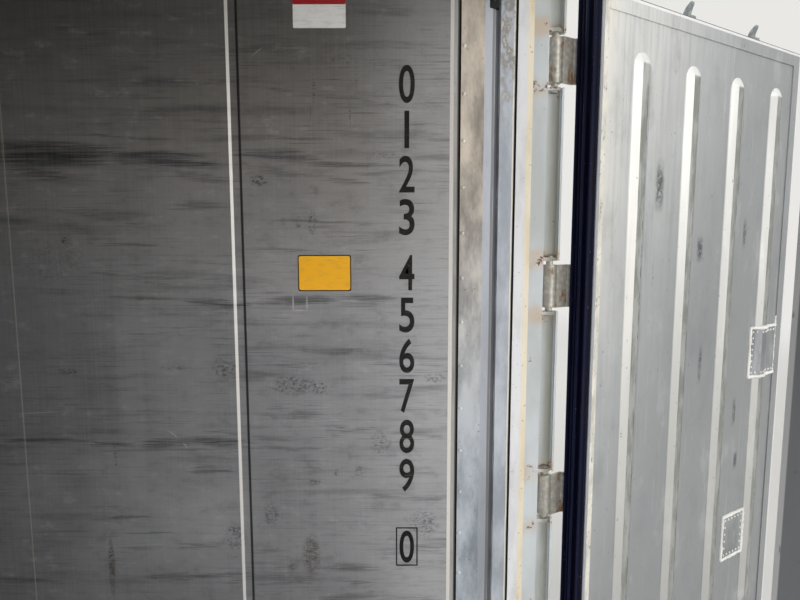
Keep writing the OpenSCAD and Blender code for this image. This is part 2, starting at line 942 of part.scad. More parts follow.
module lock_rod(y, z) {
    hub_l = 60;
    hub_t = 4;
    cam_back = 2;
    horn_lap = 10;
    bar_x = rod_x - handle_t / 2;
    translate([rod_x, y, rod_z0]) cylinder(d = rod_dia, h = rod_z1 - rod_z0);
    for (cam_z = [rod_z0, rod_z1 - cam_h])
        block(
            rod_x - rod_dia / 2 - cam_back, rod_x + rod_dia / 4,
            y - cam_w / 2, y + cam_w / 2, cam_z, cam_z + cam_h
        );
    translate([rod_x, y + horn_w / 2, rod_z1 - horn_lap])
        rotate([90, 0, 0]) linear_extrude(horn_w) cam_horn();
    translate([rod_x, y - horn_w / 2, rod_z0 + horn_lap])
        rotate([-90, 0, 0]) linear_extrude(horn_w) cam_horn();
    translate([rod_x, y, z - hub_l / 2]) cylinder(d = rod_dia + 2 * hub_t, h = hub_l);
    translate([bar_x, y, z - handle_h / 2]) cube([handle_t, handle_l, handle_h]);
}

module lock_rods() {
    lock_rod(rod_ys[0], handle_z);
    lock_rod(rod_ys[1], handle_z + handle_step);
}

module rod_bracket(y, z) {
    wrap = rod_dia + 2 * turn_gap + 2 * bracket_t;
    difference() {
        union() {
            block(
                leaf_outer_x, leaf_outer_x + bracket_t,
                y - bracket_w / 2, y + bracket_w / 2, z, z + bracket_h
            );
            translate([rod_x, y, z]) cylinder(d = wrap, h = bracket_h);
            block(leaf_outer_x, rod_x, y - wrap / 2, y + wrap / 2, z, z + bracket_h);
        }
        translate([rod_x, y, z - overcut])
            cylinder(d = rod_dia + 2 * turn_gap, h = bracket_h + 2 * overcut);
        block(
            leaf_outer_x - wrap, leaf_outer_x,
            y - wrap, y + wrap, z - overcut, z + bracket_h + overcut
        );
    }
}

module handle_catch(y, z) {
    catch_w = 40;
    catch_drop = 12;
    foot_t = 5;
    reach = rod_x + handle_t / 2 + turn_gap;
    translate([0, y - catch_w / 2, 0]) {
        z1 = z - handle_h / 2;
        block(leaf_outer_x, reach + foot_t, 0, catch_w, z1 - catch_drop, z1);
        block(reach, reach + foot_t, 0, catch_w, z1 - catch_drop, z);
    }
}

module rod_brackets() {
    ends = 60;
    catch_end = 60;
    pitch = (leaf_z1 - leaf_z0 - 2 * ends - bracket_h) / (bracket_count - 1);
    for (y = rod_ys, i = [0:bracket_count - 1])
        rod_bracket(y, leaf_z0 + ends + i * pitch);
    handle_catch(rod_ys[0] + handle_l - catch_end, handle_z);
    handle_catch(rod_ys[1] + handle_l - catch_end, handle_z + handle_step);
}

module cam_keepers() {
    face_x = rear_x - recess_d;
    out_x = rod_x + rod_dia / 2;
    offset_y = cam_w / 2 + keeper_gap;
    from_edge = 30;
    low_z = underside_z + from_edge;
    high_z = roof_z - skin_t - from_edge - keeper_h;
    color(galvanised) both_sides() for (y = rod_ys, z = [low_z, high_z])
        for (side = [-1, 1])
            block(
                face_x, out_x,
                y + side * (offset_y + keeper_t / 2) - keeper_t / 2,
                y + side * (offset_y + keeper_t / 2) + keeper_t / 2,
                z, z + keeper_h
            );
}

module shut_left() {
    mirror([0, 1, 0]) children();
}

module swung_right() {
    translate([axis_x, axis_y, 0]) rotate([0, 0, rest_open])
        translate([-axis_x, -axis_y, 0]) children();
}

module left_door_core() {
    color(foam) shut_left() door_core();
}

module left_door_skin() {
    color(skin_white) shut_left() door_skin();
}

module left_door_lining() {
    color(panel_white) shut_left() door_lining();
}

module left_door_gasket() {
    color(gasket_navy) shut_left() lipped_gasket();
}

module left_door_hinges() {
    color(galvanised) shut_left() door_hinges();
}

module left_door_lock_rods() {
    color(galvanised) shut_left() lock_rods();
}

module left_door_rod_brackets() {
    color(galvanised) shut_left() rod_brackets();
}

module right_door_core() {
    color(foam) swung_right() door_core();
}

module right_door_skin() {
    color(skin_white) swung_right() door_skin();
}

module right_door_lining() {
    color(panel_white) swung_right() door_lining();
}

module right_door_gasket() {
    color(gasket_navy) swung_right() lipped_gasket();
}

module right_door_hinges() {
    color(galvanised) swung_right() door_hinges();
}

module right_door_lock_rods() {
    color(galvanised) swung_right() lock_rods();
}

module right_door_rod_brackets() {
    color(galvanised) swung_right() rod_brackets();
}

bottom_corner_castings();
top_rear_castings();
top_front_castings();
right_rear_post();
left_rear_post();
front_posts();
rear_header();
rear_sill();
front_header();
front_sill();
top_side_rails();
bottom_side_rails();
cross_members();
underfloor_sheet();
floor_core();
floor_tees();
threshold();
right_wall_skin();
right_wall_core();
right_wall_lining();
left_wall_skin();
left_wall_core();
left_wall_lining();
front_wall_skin();
front_wall_core();
front_wall_lining();
roof_skin();
roof_core();
ceiling_lining();
door_jambs();
header_jamb();
seal_seats();
sealant_beads();
post_liners();
lining_trims();
hinge_pins();
cam_keepers();
left_door_core();
left_door_skin();
left_door_lining();
left_door_gasket();
left_door_hinges();
left_door_lock_rods();
left_door_rod_brackets();
right_door_core();
right_door_skin();
right_door_lining();
right_door_gasket();
right_door_hinges();
right_door_lock_rods();
right_door_rod_brackets();
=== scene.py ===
# An insulated shipping container, seen from inside at its door end, where the
# right-hand wall meets the rear frame and the open right door.
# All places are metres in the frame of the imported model: X along the container
# to its doors, +Y to the right-hand wall, Z up from the ground.
import json
import math
import random

import bmesh
import bpy
from mathutils import Matrix, Vector


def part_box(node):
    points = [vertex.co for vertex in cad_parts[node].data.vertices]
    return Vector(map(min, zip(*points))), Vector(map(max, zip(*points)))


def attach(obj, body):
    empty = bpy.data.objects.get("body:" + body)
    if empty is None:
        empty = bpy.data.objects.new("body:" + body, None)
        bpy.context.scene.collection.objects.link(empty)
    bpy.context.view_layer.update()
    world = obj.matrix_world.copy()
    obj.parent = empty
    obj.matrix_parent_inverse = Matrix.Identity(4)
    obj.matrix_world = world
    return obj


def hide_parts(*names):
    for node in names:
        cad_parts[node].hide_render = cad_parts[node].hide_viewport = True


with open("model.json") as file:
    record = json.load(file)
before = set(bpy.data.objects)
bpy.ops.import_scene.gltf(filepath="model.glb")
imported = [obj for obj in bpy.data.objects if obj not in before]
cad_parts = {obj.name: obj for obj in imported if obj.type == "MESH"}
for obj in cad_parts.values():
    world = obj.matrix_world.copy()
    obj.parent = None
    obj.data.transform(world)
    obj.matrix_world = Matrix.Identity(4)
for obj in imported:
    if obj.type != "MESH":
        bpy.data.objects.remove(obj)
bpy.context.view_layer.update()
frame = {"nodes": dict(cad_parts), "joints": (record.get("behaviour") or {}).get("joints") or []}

# Camera
# The camera stands inside the doorway at eye height and looks square at the
# right-hand wall, tipped a little down.
eye = Vector((2.565, -0.501, 1.770))
look_down = math.radians(6.24)
look_left = math.radians(0.2)
tilt = math.radians(-0.06)
lens_over_width = 573 / 800

camera_data = bpy.data.cameras.new("eye")
camera_data.sensor_width = 36.0
camera_data.lens = camera_data.sensor_width * lens_over_width
camera_data.clip_start = 0.05
camera_data.clip_end = 300
camera = bpy.data.objects.new("eye", camera_data)
bpy.context.collection.objects.link(camera)
camera.matrix_world = (
    Matrix.Translation(eye)
    @ Matrix.Rotation(look_left, 4, "Z")
    @ Matrix.Rotation(math.pi / 2 - look_down, 4, "X")
    @ Matrix.Rotation(tilt, 4, "Z")
)
bpy.context.scene.camera = camera
bpy.context.scene.view_settings.view_transform = "Standard"


# Floor and light
# A plain pale floor runs out to a pale surround. Wide soft lamps stand outside
# the doorway and over the roof, and a weak one lights the inside.
def tint(code):
    """A colour written as sRGB hex, as linear RGBA."""
    parts = [int(code[i : i + 2], 16) / 255 for i in (1, 3, 5)]
    linear = [c / 12.92 if c <= 0.04045 else ((c + 0.055) / 1.055) ** 2.4 for c in parts]
    return (*linear, 1.0)


class Shade:
    """A number, point or colour that varies over a piece: the output of a node."""

    def __init__(self, socket):
        self.socket = socket
        self.tree = socket.id_data

    def math(self, operation, first, second=0.0):
        return add_node(self.tree, "Math", {0: first, 1: second}, operation=operation)

    def __add__(self, other):
        return self.math("ADD", self, other)

    def __sub__(self, other):
        return self.math("SUBTRACT", self, other)

    def __rsub__(self, other):
        return self.math("SUBTRACT", other, self)

    def __mul__(self, other):
        return self.math("MULTIPLY", self, other)

    def __abs__(self):
        return self.math("ABSOLUTE", self)


def join(socket, value):
    """Feeds a socket from a shade, or sets it to a number, a vector or a colour code."""
    if isinstance(value, Shade):
        value.tree.links.new(value.socket, socket)
    else:
        socket.default_value = tint(value) if isinstance(value, str) else value


def add_node(tree, kind, inputs, output=0, **settings):
    """A new node with its settings and inputs. It gives one of its outputs."""
    node = tree.nodes.new("ShaderNode" + kind)
    for name, value in settings.items():
        setattr(node, name, value)
    for socket, value in inputs.items():
        join(node.inputs[socket], value)
    return Shade(node.outputs[output])


def most(first, second):
    """The greater of two values at every point."""
    return second.math("MAXIMUM", first, second)


def finish(name, metallic=0.0, roughness=0.5, gloss=0.5):
    """A new material and its node tree."""
    material = bpy.data.materials.new(name)
    material.use_nodes = True
    shader = material.node_tree.nodes["Principled BSDF"]
    join(shader.inputs["Metallic"], metallic)
    join(shader.inputs["Roughness"], roughness)
    join(shader.inputs["Specular IOR Level"], gloss)
    return material, material.node_tree


def place(tree, stretch=(1, 1, 1), turn=0.0, shift=(0, 0, 0)):
    """The point on the piece, in metres, stretched, turned about Z and shifted."""
    point = add_node(tree, "TexCoord", {}, "Object")
    inputs = {"Vector": point, "Scale": stretch, "Rotation": (0, 0, turn), "Location": shift}
    return add_node(tree, "Mapping", inputs)


def cloud(point, scale, detail=4, rough=0.55):
    """Soft noise from 0 to 1."""
    inputs = {"Vector": point, "Scale": scale, "Detail": detail, "Roughness": rough}
    return add_node(point.tree, "TexNoise", inputs, "Fac")


def step(value, low, high, floor=0, top=1):
    """A smooth step from floor at low to top at high."""
    inputs = {"Value": value, "From Min": low, "From Max": high, "To Min": floor, "To Max": top}
    return add_node(value.tree, "MapRange", inputs, "Result", interpolation_type="SMOOTHSTEP")


def blend(amount, under, over):
    """The colour under, covered by the colour over by an amount."""
    return add_node(amount.tree, "Mix", {0: amount, 6: under, 7: over}, 2, data_type="RGBA")


surround = "#e9e8e5"
world = bpy.data.worlds.new("surround")
world.use_nodes = True
bpy.context.scene.world = world
sky_light = world.node_tree.nodes["Background"]
join(sky_light.inputs["Color"], "#ffffff")
join(sky_light.inputs["Strength"], 0.5)
backdrop = add_node(world.node_tree, "Background", {"Color": surround, "Strength": 1.0})
rays = world.node_tree.nodes.new("ShaderNodeLightPath").outputs
seen = most(Shade(rays["Is Camera Ray"]), Shade(rays["Is Glossy Ray"]))
seen = most(seen, Shade(rays["Is Transmission Ray"]))
sky = add_node(world.node_tree, "MixShader", {0: seen, 1: Shade(sky_light.outputs[0]), 2: backdrop})
join(world.node_tree.nodes["World Output"].inputs["Surface"], sky)

ground_reach = 60
fade_start, fade_end = 6.0, 15.0
ground_mesh = bmesh.new()
bmesh.ops.create_grid(ground_mesh, x_segments=2, y_segments=2, size=ground_reach)
ground_data = bpy.data.meshes.new("ground")
ground_mesh.to_mesh(ground_data)
ground_mesh.free()
ground = bpy.data.objects.new("ground", ground_data)
bpy.context.collection.objects.link(ground)
ground_paint, ground_tree = finish("pale floor", roughness=0.9)
ground_data.materials.append(ground_paint)
ground_point = place(ground_tree)
ground_shader = ground_tree.nodes["Principled BSDF"]
join(ground_shader.inputs["Base Color"], blend(cloud(ground_point, 1.5, 3), "#dddcd8", "#e3e2df"))
far_off = add_node(ground_tree, "VectorMath", {0: ground_point}, "Value", operation="LENGTH")
fade = step(far_off, fade_start, fade_end) * add_node(ground_tree, "LightPath", {}, "Is Camera Ray")
far_tone = add_node(ground_tree, "Emission", {"Color": surround})
faded = add_node(ground_tree, "MixShader", {0: fade, 1: Shade(ground_shader.outputs[0]), 2: far_tone})
join(ground_tree.nodes["Material Output"].inputs["Surface"], faded)


def lamp(name, at, towards, size, power, colour=(1, 1, 1), shown=True):
    """A square soft lamp that no camera sees."""
    data = bpy.data.lights.new(name, "AREA")
    data.size = size
    data.energy = power
    data.color = colour
    lamp_object = bpy.data.objects.new(name, data)
    bpy.context.collection.objects.link(lamp_object)
    aim = (Vector(towards) - Vector(at)).to_track_quat("-Z", "Y")
    lamp_object.matrix_world = Matrix.Translation(at) @ aim.to_matrix().to_4x4()
    lamp_object.visible_camera = False
    lamp_object.visible_glossy = shown


lamp("doorway lamp", (7.5, -3.5, 2.6), (2.6, 0.8, 1.3), 4.5, 210, (1, 0.99, 0.98))
lamp("roof lamp", (-3, -7, 9), (0, 0, 1), 7, 470)
lamp("side lamp", (1, 9, 6), (0, 1, 1), 6, 350)
lamp("inside lamp", (2.3, -1.0, 0.9), (2.5, 1.1, 1.0), 0.9, 22, shown=False)


# Wall and ceiling linings
# Stainless sheets about 1.26 m wide line the walls, with an upright groove
# pressed into each. Years of pallets have left long dark smears and scuffs.
def dress(material, *nodes):
    """Gives CAD nodes a finish."""
    for node in nodes:
        for slot in frame["nodes"][node].material_slots:
            slot.material = material


def split(point):
    """The X, Y and Z of a point."""
    parts = add_node(point.tree, "SeparateXYZ", {0: point}).socket.node.outputs
    return [Shade(part) for part in parts]


def band(value, centre, half, soft):
    """1 where a value lies within half of the centre, fading over soft."""
    return step(abs(value - centre), half + soft, half)


def from_nearest(value, first, pitch):
    """How far a value lies from the nearest of a row of lines, one pitch apart."""
    return add_node(value.tree, "Math", {0: value - first, 1: pitch / 2, 2: -pitch / 2}, operation="WRAP")


def coat(material, colour, height, depth, strength, roughness=None):
    """Gives a material its colour, and relief from a height of 0 to 1 that stands depth metres high."""
    shader = material.node_tree.nodes["Principled BSDF"]
    join(shader.inputs["Base Color"], colour)
    if roughness:
        join(shader.inputs["Roughness"], roughness)
    inputs = {"Height": height, "Distance": depth, "Strength": strength}
    join(shader.inputs["Normal"], add_node(material.node_tree, "Bump", inputs))
    return material


mm = 0.001
# Each smear: X and Z of its two ends, half thickness in mm, darkness
SMEARS = (
    (1.65, 2.20, 1.77, 2.21, 6, 0.4), (1.81, 2.20, 1.96, 2.20, 11, 0.55),
    (1.96, 2.20, 2.08, 2.19, 3, 0.45), (1.66, 2.06, 1.79, 2.05, 3, 0.6), (1.79, 2.05, 1.93, 2.04, 3, 0.6),
    (1.36, 2.03, 1.68, 2.02, 14, 0.9), (1.36, 2.00, 1.80, 1.99, 20, 1),
    (1.60, 2.01, 1.76, 2.01, 16, 0.85), (1.70, 2.00, 2.06, 2.00, 8, 0.85),
    (1.74, 1.99, 2.10, 1.97, 9, 0.9), (1.80, 1.98, 1.90, 1.96, 8, 0.45), (1.90, 1.96, 2.08, 1.92, 7, 0.5),
    (1.45, 1.98, 1.66, 1.92, 11, 0.65), (1.89, 1.86, 2.07, 1.86, 9, 0.5),
    (1.73, 1.75, 1.85, 1.75, 4, 0.7), (1.65, 1.67, 1.80, 1.66, 3, 0.5), (1.80, 1.66, 1.95, 1.65, 3, 0.55),
    (1.84, 1.64, 1.88, 1.64, 4, 0.6), (1.71, 1.60, 1.96, 1.59, 5, 0.75),
    (1.95, 1.59, 2.10, 1.57, 10, 0.85), (2.13, 1.58, 2.17, 1.58, 5, 0.7),
    (2.17, 1.58, 2.36, 1.60, 11, 0.75), (2.38, 1.60, 2.55, 1.59, 9, 0.65),
    (2.38, 1.58, 2.54, 1.57, 6, 0.4), (2.60, 1.58, 2.69, 1.56, 3, 0.35), (1.37, 1.17, 1.59, 1.17, 5, 0.8),
    (1.59, 1.17, 1.79, 1.15, 5, 0.7), (1.79, 1.15, 1.94, 1.17, 12, 0.85),
    (1.94, 1.17, 2.08, 1.16, 12, 0.85), (1.64, 1.14, 2.05, 1.14, 3, 0.5),
    (1.99, 1.20, 2.07, 1.19, 5, 0.5), (1.44, 1.07, 1.66, 1.06, 2, 0.4), (1.92, 1.07, 2.04, 1.08, 5, 0.7),
    (1.94, 1.09, 2.00, 1.09, 5, 0.5), (1.64, 0.93, 1.81, 0.93, 4, 0.6), (1.67, 0.88, 1.92, 0.88, 2, 0.45),
    (1.70, 0.83, 1.85, 0.83, 5, 0.4), (1.88, 0.83, 2.01, 0.85, 7, 0.5), (1.34, 0.73, 1.48, 0.73, 9, 0.6),
    (1.80, 0.74, 1.92, 0.74, 10, 0.6), (1.92, 0.74, 2.07, 0.75, 8, 0.6), (2.13, 2.19, 2.31, 2.17, 2, 0.5),
    (2.31, 2.17, 2.50, 2.14, 3, 0.55), (2.15, 2.05, 2.38, 2.04, 3, 0.65),
    (2.36, 2.06, 2.68, 2.05, 10, 0.4), (2.13, 2.01, 2.32, 1.99, 12, 0.7),
    (2.23, 1.98, 2.55, 1.97, 5, 0.65), (2.13, 1.97, 2.34, 1.94, 6, 0.5), (2.34, 1.94, 2.46, 1.92, 6, 0.5),
    (2.45, 1.95, 2.57, 1.95, 6, 0.4), (2.14, 1.82, 2.55, 1.81, 3, 0.5), (2.40, 1.81, 2.48, 1.81, 6, 0.5),
    (2.18, 1.74, 2.29, 1.73, 4, 0.6), (2.28, 1.44, 2.45, 1.44, 8, 0.55), (2.23, 1.40, 2.28, 1.40, 8, 0.5),
    (2.50, 1.40, 2.55, 1.40, 5, 0.5), (2.62, 1.40, 2.69, 1.40, 4, 0.4), (2.20, 1.25, 2.33, 1.25, 12, 0.6),
    (2.34, 1.22, 2.45, 1.19, 6, 0.55), (2.13, 1.15, 2.32, 1.14, 4, 0.5), (2.13, 1.18, 2.25, 1.17, 6, 0.4),
    (2.60, 1.19, 2.70, 1.18, 6, 0.5), (2.44, 1.01, 2.56, 0.99, 7, 0.5), (2.56, 0.99, 2.70, 0.99, 5, 0.45),
    (2.31, 0.77, 2.49, 0.77, 11, 0.6), (2.13, 0.71, 2.31, 0.74, 3, 0.6), (2.39, 0.72, 2.46, 0.72, 4, 0.5),
    (2.30, 0.67, 2.51, 0.68, 10, 0.5),
)
# Each rough patch: X and Z of its middle, half width and half height in mm, darkness
SCUFFS = (
    (1.60, 1.76, 16, 16, 0.9), (2.24, 1.34, 95, 40, 0.7), (2.32, 1.33, 30, 28, 0.9),
    (2.05, 1.39, 55, 45, 0.7), (2.16, 1.93, 36, 20, 0.9), (2.63, 0.91, 55, 60, 0.6),
    (2.50, 1.16, 45, 45, 0.6), (2.44, 1.07, 22, 26, 0.7), (2.37, 1.07, 9, 16, 0.9),
    (2.06, 0.87, 40, 55, 0.7), (1.56, 1.70, 130, 90, 0.25), (2.51, 2.00, 60, 16, 0.5),
    (2.66, 1.36, 45, 20, 0.6), (2.17, 0.94, 30, 50, 0.6), (2.31, 1.81, 16, 45, 0.9),
    (2.27, 1.81, 8, 26, 0.8), (2.32, 2.18, 7, 50, 0.7), (2.44, 2.22, 4, 60, 0.6),
    (2.42, 2.11, 4, 55, 0.5), (2.50, 1.52, 18, 60, 0.3), (1.71, 1.12, 5, 60, 0.8),
    (2.40, 2.26, 50, 20, 0.4), (1.58, 1.38, 45, 12, 0.8), (1.90, 1.39, 60, 8, 0.6),
    (2.30, 1.04, 40, 14, 0.7),
)
# Rubbed clean spots, as above, and the trace that a lost sticker left
CLEAN = (
    (1.77, 1.36, 60, 520, 0.13), (1.90, 1.52, 150, 600, 0.1), (2.25, 1.58, 3, 32, 0.8),
    (2.29, 1.58, 3, 32, 0.6), (2.27, 1.56, 24, 3, 0.6),
)
# Bright scratches, as the smears
SCRATCHES = (
    (1.86, 1.21, 1.91, 1.17, 1.2, 0.9), (1.91, 1.17, 1.93, 1.14, 1.2, 0.9),
    (1.38, 1.25, 1.60, 1.26, 1.2, 0.5), (2.14, 2.26, 2.19, 2.30, 1.2, 0.5),
)
# Brown stains, as the rough patches
STAINS = (
    (1.68, 0.77, 14, 120, 0.9), (2.29, 0.81, 34, 85, 0.8), (2.23, 0.77, 20, 20, 0.6),
    (2.31, 2.12, 4, 24, 0.5),
)
sheet_pitch = 1.26
first_groove = 2.095
sheet_seam = 1.443


def oval(point, x, z, wide, high, slant=0.0):
    """An oval on the wall: 1 in its middle, evenly down to 0 at its rim."""
    # A gradient takes the point as it comes. A vector length would have it converted, and Cycles
    # then keeps the points of all ovals at once, which can fill its memory and turn a finish black.
    fit = {"Vector": point, "Location": (x, 0, z), "Rotation": (0, slant, 0), "Scale": (wide, 1000, high)}
    fitted = add_node(point.tree, "Mapping", fit, vector_type="TEXTURE")
    return add_node(point.tree, "TexGradient", {0: fitted}, "Fac", gradient_type="SPHERICAL")


def marks_on(point, marks, reach=1.0):
    """Feathered long ovals between given ends, from 0 to 1."""
    total = 0.0
    for x0, z0, x1, z1, half, strength in marks:
        wide = math.hypot(x1 - x0, z1 - z0) * 0.58 * reach + half * mm
        slant = math.atan2(z0 - z1, x1 - x0)
        mark = oval(point, (x0 + x1) / 2, (z0 + z1) / 2, wide, half * mm * 2 * reach, slant)
        total = most(total, step(mark, 0, 0.7, 0, strength))
    return total


def patches_on(point, patches):
    """Soft upright ovals about given middles, from 0 to 1."""
    total = 0.0
    for x, z, wide, high, strength in patches:
        total = most(total, step(oval(point, x, z, wide * mm, high * mm), 0, 0.6, 0, strength))
    return total


def scuffed_lining(name, pale, dark, smears=(), scuffs=(), stains=(), grooved=False):
    """Dulled stainless sheet with painted shade upwards and inwards and painted light near the door,
    dragged, scuffed and scratched.
    """
    material, tree = finish(name, metallic=0.25, roughness=0.5)
    point = place(tree)
    x, y, z = split(point)
    broad = cloud(point, 1.3, 3)
    drag = cloud(place(tree, (0.7, 1, 9)), 3.2, 6, 0.62)
    fine = cloud(place(tree, (1.5, 1, 60)), 4, 5, 0.7)
    brush = cloud(place(tree, (160, 160, 1.5)), 2, 2)
    base = blend(step(broad, 0.35, 0.68), dark, pale)
    # Painted shade: darker and browner towards the top, and darker further in from the door. Painted light:
    # paler near the door.
    base = blend(step(z + broad, 1.9, 2.6, 0, 0.55), base, "#8a8178")
    base = blend(step(z, 1.85, 2.5, 0, 0.62), base, "#3c3c39")
    base = blend(step(x, 2.15, 1.4, 0, 0.3), base, "#3b3d3a")
    base = blend(step(x, 2.35, 2.7, 0, 0.4), base, "#c9c9cb")
    worked = step(cloud(place(tree, (0.8, 1, 1.2), shift=(3, 0, 1)), 2.6, 3), 0.38, 0.6, 0.25, 1)
    rubbed = step(drag, 0.52, 0.72, 0, 0.5) * worked
    hair = step(fine, 0.52, 0.72, 0, 0.6) * worked
    soiled = most(rubbed, hair)
    if smears:
        wave = cloud(place(tree, (1, 0, 2)), 5, 4, 0.6)
        lift = (wave - 0.5) * 0.022
        feather = (fine - 0.5) * 0.45
        wavy = add_node(tree, "CombineXYZ", {0: x + feather, 2: z + lift})
        smear = marks_on(wavy, smears)
        streaky = step(cloud(place(tree, (1.3, 1, 60)), 4, 6, 0.75), 0.34, 0.6, 0.45, 1)
        soiled = most(soiled, smear * streaky)
    rough = cloud(place(tree, (1, 1, 1.8)), 85, 6, 0.8)
    if scuffs:
        soiled = most(soiled, patches_on(point, scuffs) * step(rough, 0.46, 0.6))
    pocks = step(rough, 0.64, 0.7, 0, 0.8)
    pock_area = step(cloud(place(tree, shift=(0.4, 0, 0.2)), 2.1, 2), 0.5, 0.62)
    soiled = most(soiled, pocks * pock_area)
    mottle = cloud(place(tree, (1, 1, 1.8), shift=(5, 0, 0)), 13, 6, 0.7)
    base = blend(step(mottle, 0.5, 0.72, 0, 0.35), base, "#4c4c4d")
    base = blend(step(mottle, 0.46, 0.3, 0, 0.22), base, "#bdbcba")
    colour = blend(soiled, base, "#262628")
    if stains:
        brown = patches_on(point, stains) * step(rough, 0.4, 0.6, 0.15, 1)
        colour = blend(brown, colour, "#40382e")
    bright = step(cloud(place(tree, (0.8, 1, 40), shift=(2, 0, 3)), 3, 4, 0.6), 0.66, 0.8, 0, 0.25)
    bright = most(bright, most(patches_on(point, CLEAN), marks_on(point, SCRATCHES, 0.7)))
    colour = blend(bright, colour, "#b9b6b1")
    colour = blend(step(brush, 0.3, 0.8, 0, 0.06), colour, "#c4c3c2")
    colour = blend(band(x, sheet_seam, 0.0008, 0.0008) * 0.5, colour, "#bdbab4")
    if grooved:
        away = from_nearest(x, first_groove, sheet_pitch)
        # A painted highlight on the groove's flank that faces the door, and painted shade on the flank that
        # faces away.
        colour = blend(band(away, -0.0135, 0.0035, 0.001) * 0.62, colour, "#f3efe8")
        colour = blend(band(away, 0.014, 0.0035, 0.0015) * 0.85, colour, "#1e1d1c")
    return coat(material, colour, broad + drag * 0.25, 0.004, 0.35, step(soiled, 0, 1, 0.46, 0.66))


wall_steel = scuffed_lining("scuffed stainless lining", "#a4a4a6", "#838385", SMEARS, SCUFFS, STAINS, True)
far_steel = scuffed_lining("rubbed stainless lining", "#a2a2a4", "#848486", grooved=True)
ceiling_steel = scuffed_lining("clean stainless lining", "#b9b8b5", "#a6a5a3")
dress(wall_steel, "right_wall_lining")
dress(far_steel, "left_wall_lining", "front_wall_lining")
dress(ceiling_steel, "ceiling_lining", "header_jamb")


# Rear frame liners
# A riveted stainless strip guards the corner of each post, and beside it a
# folded jamb steps outwards to the seal. Both are dulled and scratched.
def pressed_steel(name, pale, dark, metallic=0.3, grit=0.25, bands=(), warm=None, flaked=None):
    """Dulled sheet steel, with bands of X, which paint shade and highlights at folds and gaps and a line of
    sealant, and perhaps a warmer top or flaking paint.
    """
    material, tree = finish(name, metallic=metallic, roughness=0.42)
    point = place(tree)
    x, y, z = split(point)
    mottle = cloud(place(tree, (1, 1, 0.35)), 11, 6, 0.65)
    rub = cloud(place(tree, (1, 1, 0.2)), 60, 4, 0.6)
    spots = step(cloud(point, 75, 3, 0.6), 0.66, 0.74, 0, grit)
    low, high = dark, pale
    if warm:
        height = step(z, 1, 2.1, 0, 0.85)
        low, high = blend(height, low, "#9a8f80"), blend(height, high, warm)
    colour = blend(step(mottle, 0.34, 0.66), low, high)
    colour = blend(step(rub, 0.55, 0.8, 0, 0.3), colour, "#dedbd6")
    ragged = x + (mottle - 0.5) * 0.006
    for middle, half, strength, shade in bands:
        colour = blend(band(ragged, middle, half, 0.003) * strength, colour, shade)
    colour = blend(spots, colour, "#57524d")
    if flaked:
        low_x, low_z = flaked
        area = step(x, low_x - 0.001, low_x + 0.001) * step(z, low_z - 0.3, low_z, 0, 0.9)
        flakes = cloud(place(tree, (1, 1, 0.6), shift=(0.3, 0, 0)), 38, 5, 0.6)
        colour = blend(area * step(flakes, 0.42, 0.58, 0, 0.8), colour, "#8c8070")
        colour = blend(area * step(flakes, 0.6, 0.62, 0, 0.7), colour, "#e6dfd0")
    return coat(material, colour, mottle, 0.0015, 0.4, step(mottle, 0.2, 0.8, 0.34, 0.58))


# Each band: middle, half width, strength, colour
# The jamb's bands are painted shade down the slope and in the corner, a painted highlight on the folded
# edge, and painted shade at the gap beside it.
JAMB_SHADE_AND_HIGHLIGHT_BANDS = (
    (2.808, 0.014, 0.65, "#8d9096"), (2.822, 0.003, 0.7, "#55524f"), (2.833, 0.004, 0.75, "#413d3b"),
    (2.8795, 0.0012, 0.9, "#efeade"), (2.884, 0.0016, 0.9, "#2b221b"),
)
# The trim's pale band is a cream sealant fillet. Its dark line by the gap is painted shade.
TRIM_SEALANT_AND_SHADE_BANDS = ((2.7035, 0.0045, 0.9, "#f4f0e8"), (2.7225, 0.001, 0.9, "#3c3936"))
liner_steel = pressed_steel("post liner steel", "#c6cdd5", "#9097a1", grit=0.6, warm="#e6d7c3")
jamb_steel = pressed_steel("jamb steel", "#ccd2da", "#a7adb6", 0.35, 0.35, JAMB_SHADE_AND_HIGHLIGHT_BANDS, flaked=(2.841, 2.30))
trim_steel = pressed_steel("lining trim steel", "#b4b2ae", "#908e8b", 0.2, 0.3, TRIM_SEALANT_AND_SHADE_BANDS)
patch_steel = pressed_steel("scuffed patch steel", "#a4a7a9", "#808385", 0.3, 0.5)
dress(liner_steel, "post_liners")
dress(jamb_steel, "door_jambs")
dress(trim_steel, "lining_trims")


def new_piece(name, mesh, material, body="container", smooth=False):
    """Turns a bmesh into a piece of the model that moves with a body."""
    data = bpy.data.meshes.new(name)
    bmesh.ops.recalc_face_normals(mesh, faces=mesh.faces)
    for face in mesh.faces:
        face.smooth = smooth
    mesh.to_mesh(data)
    mesh.free()
    piece = bpy.data.objects.new(name, data)
    bpy.context.collection.objects.link(piece)
    data.materials.append(material)
    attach(piece, body)


def add_head(mesh, at, facing, diameter, rise, sides=10):
    """A domed rivet or bolt head on a face that looks along facing."""
    turn = Vector((0, 0, 1)).rotation_difference(Vector(facing)).to_matrix().to_4x4()
    shape = Matrix.Diagonal((diameter / 2, diameter / 2, rise, 1))
    bmesh.ops.create_uvsphere(
        mesh, u_segments=sides, v_segments=5, radius=1,
        matrix=Matrix.Translation(at) @ turn @ shape,
    )


wall_y = 1.145
liner_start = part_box("post_liners")[0][0]
liner_face = wall_y - 0.002
rivet_d, rivet_rise = 0.011, 0.0035
rivet_pitch = 0.1282
rivet_top = 2.4227
rivet_from_edge = 0.008
rivet_count = 18
rivets = bmesh.new()
for i in range(rivet_count):
    for side in (1, -1):
        at = (liner_start + rivet_from_edge, side * liner_face, rivet_top - i * rivet_pitch)
        add_head(rivets, at, (0, -side, 0), rivet_d, rivet_rise)
bare_steel = pressed_steel("rivet steel", "#e2e1dd", "#bdbab4", 0.2)
new_piece("post_liner_rivets", rivets, bare_steel, smooth=True)


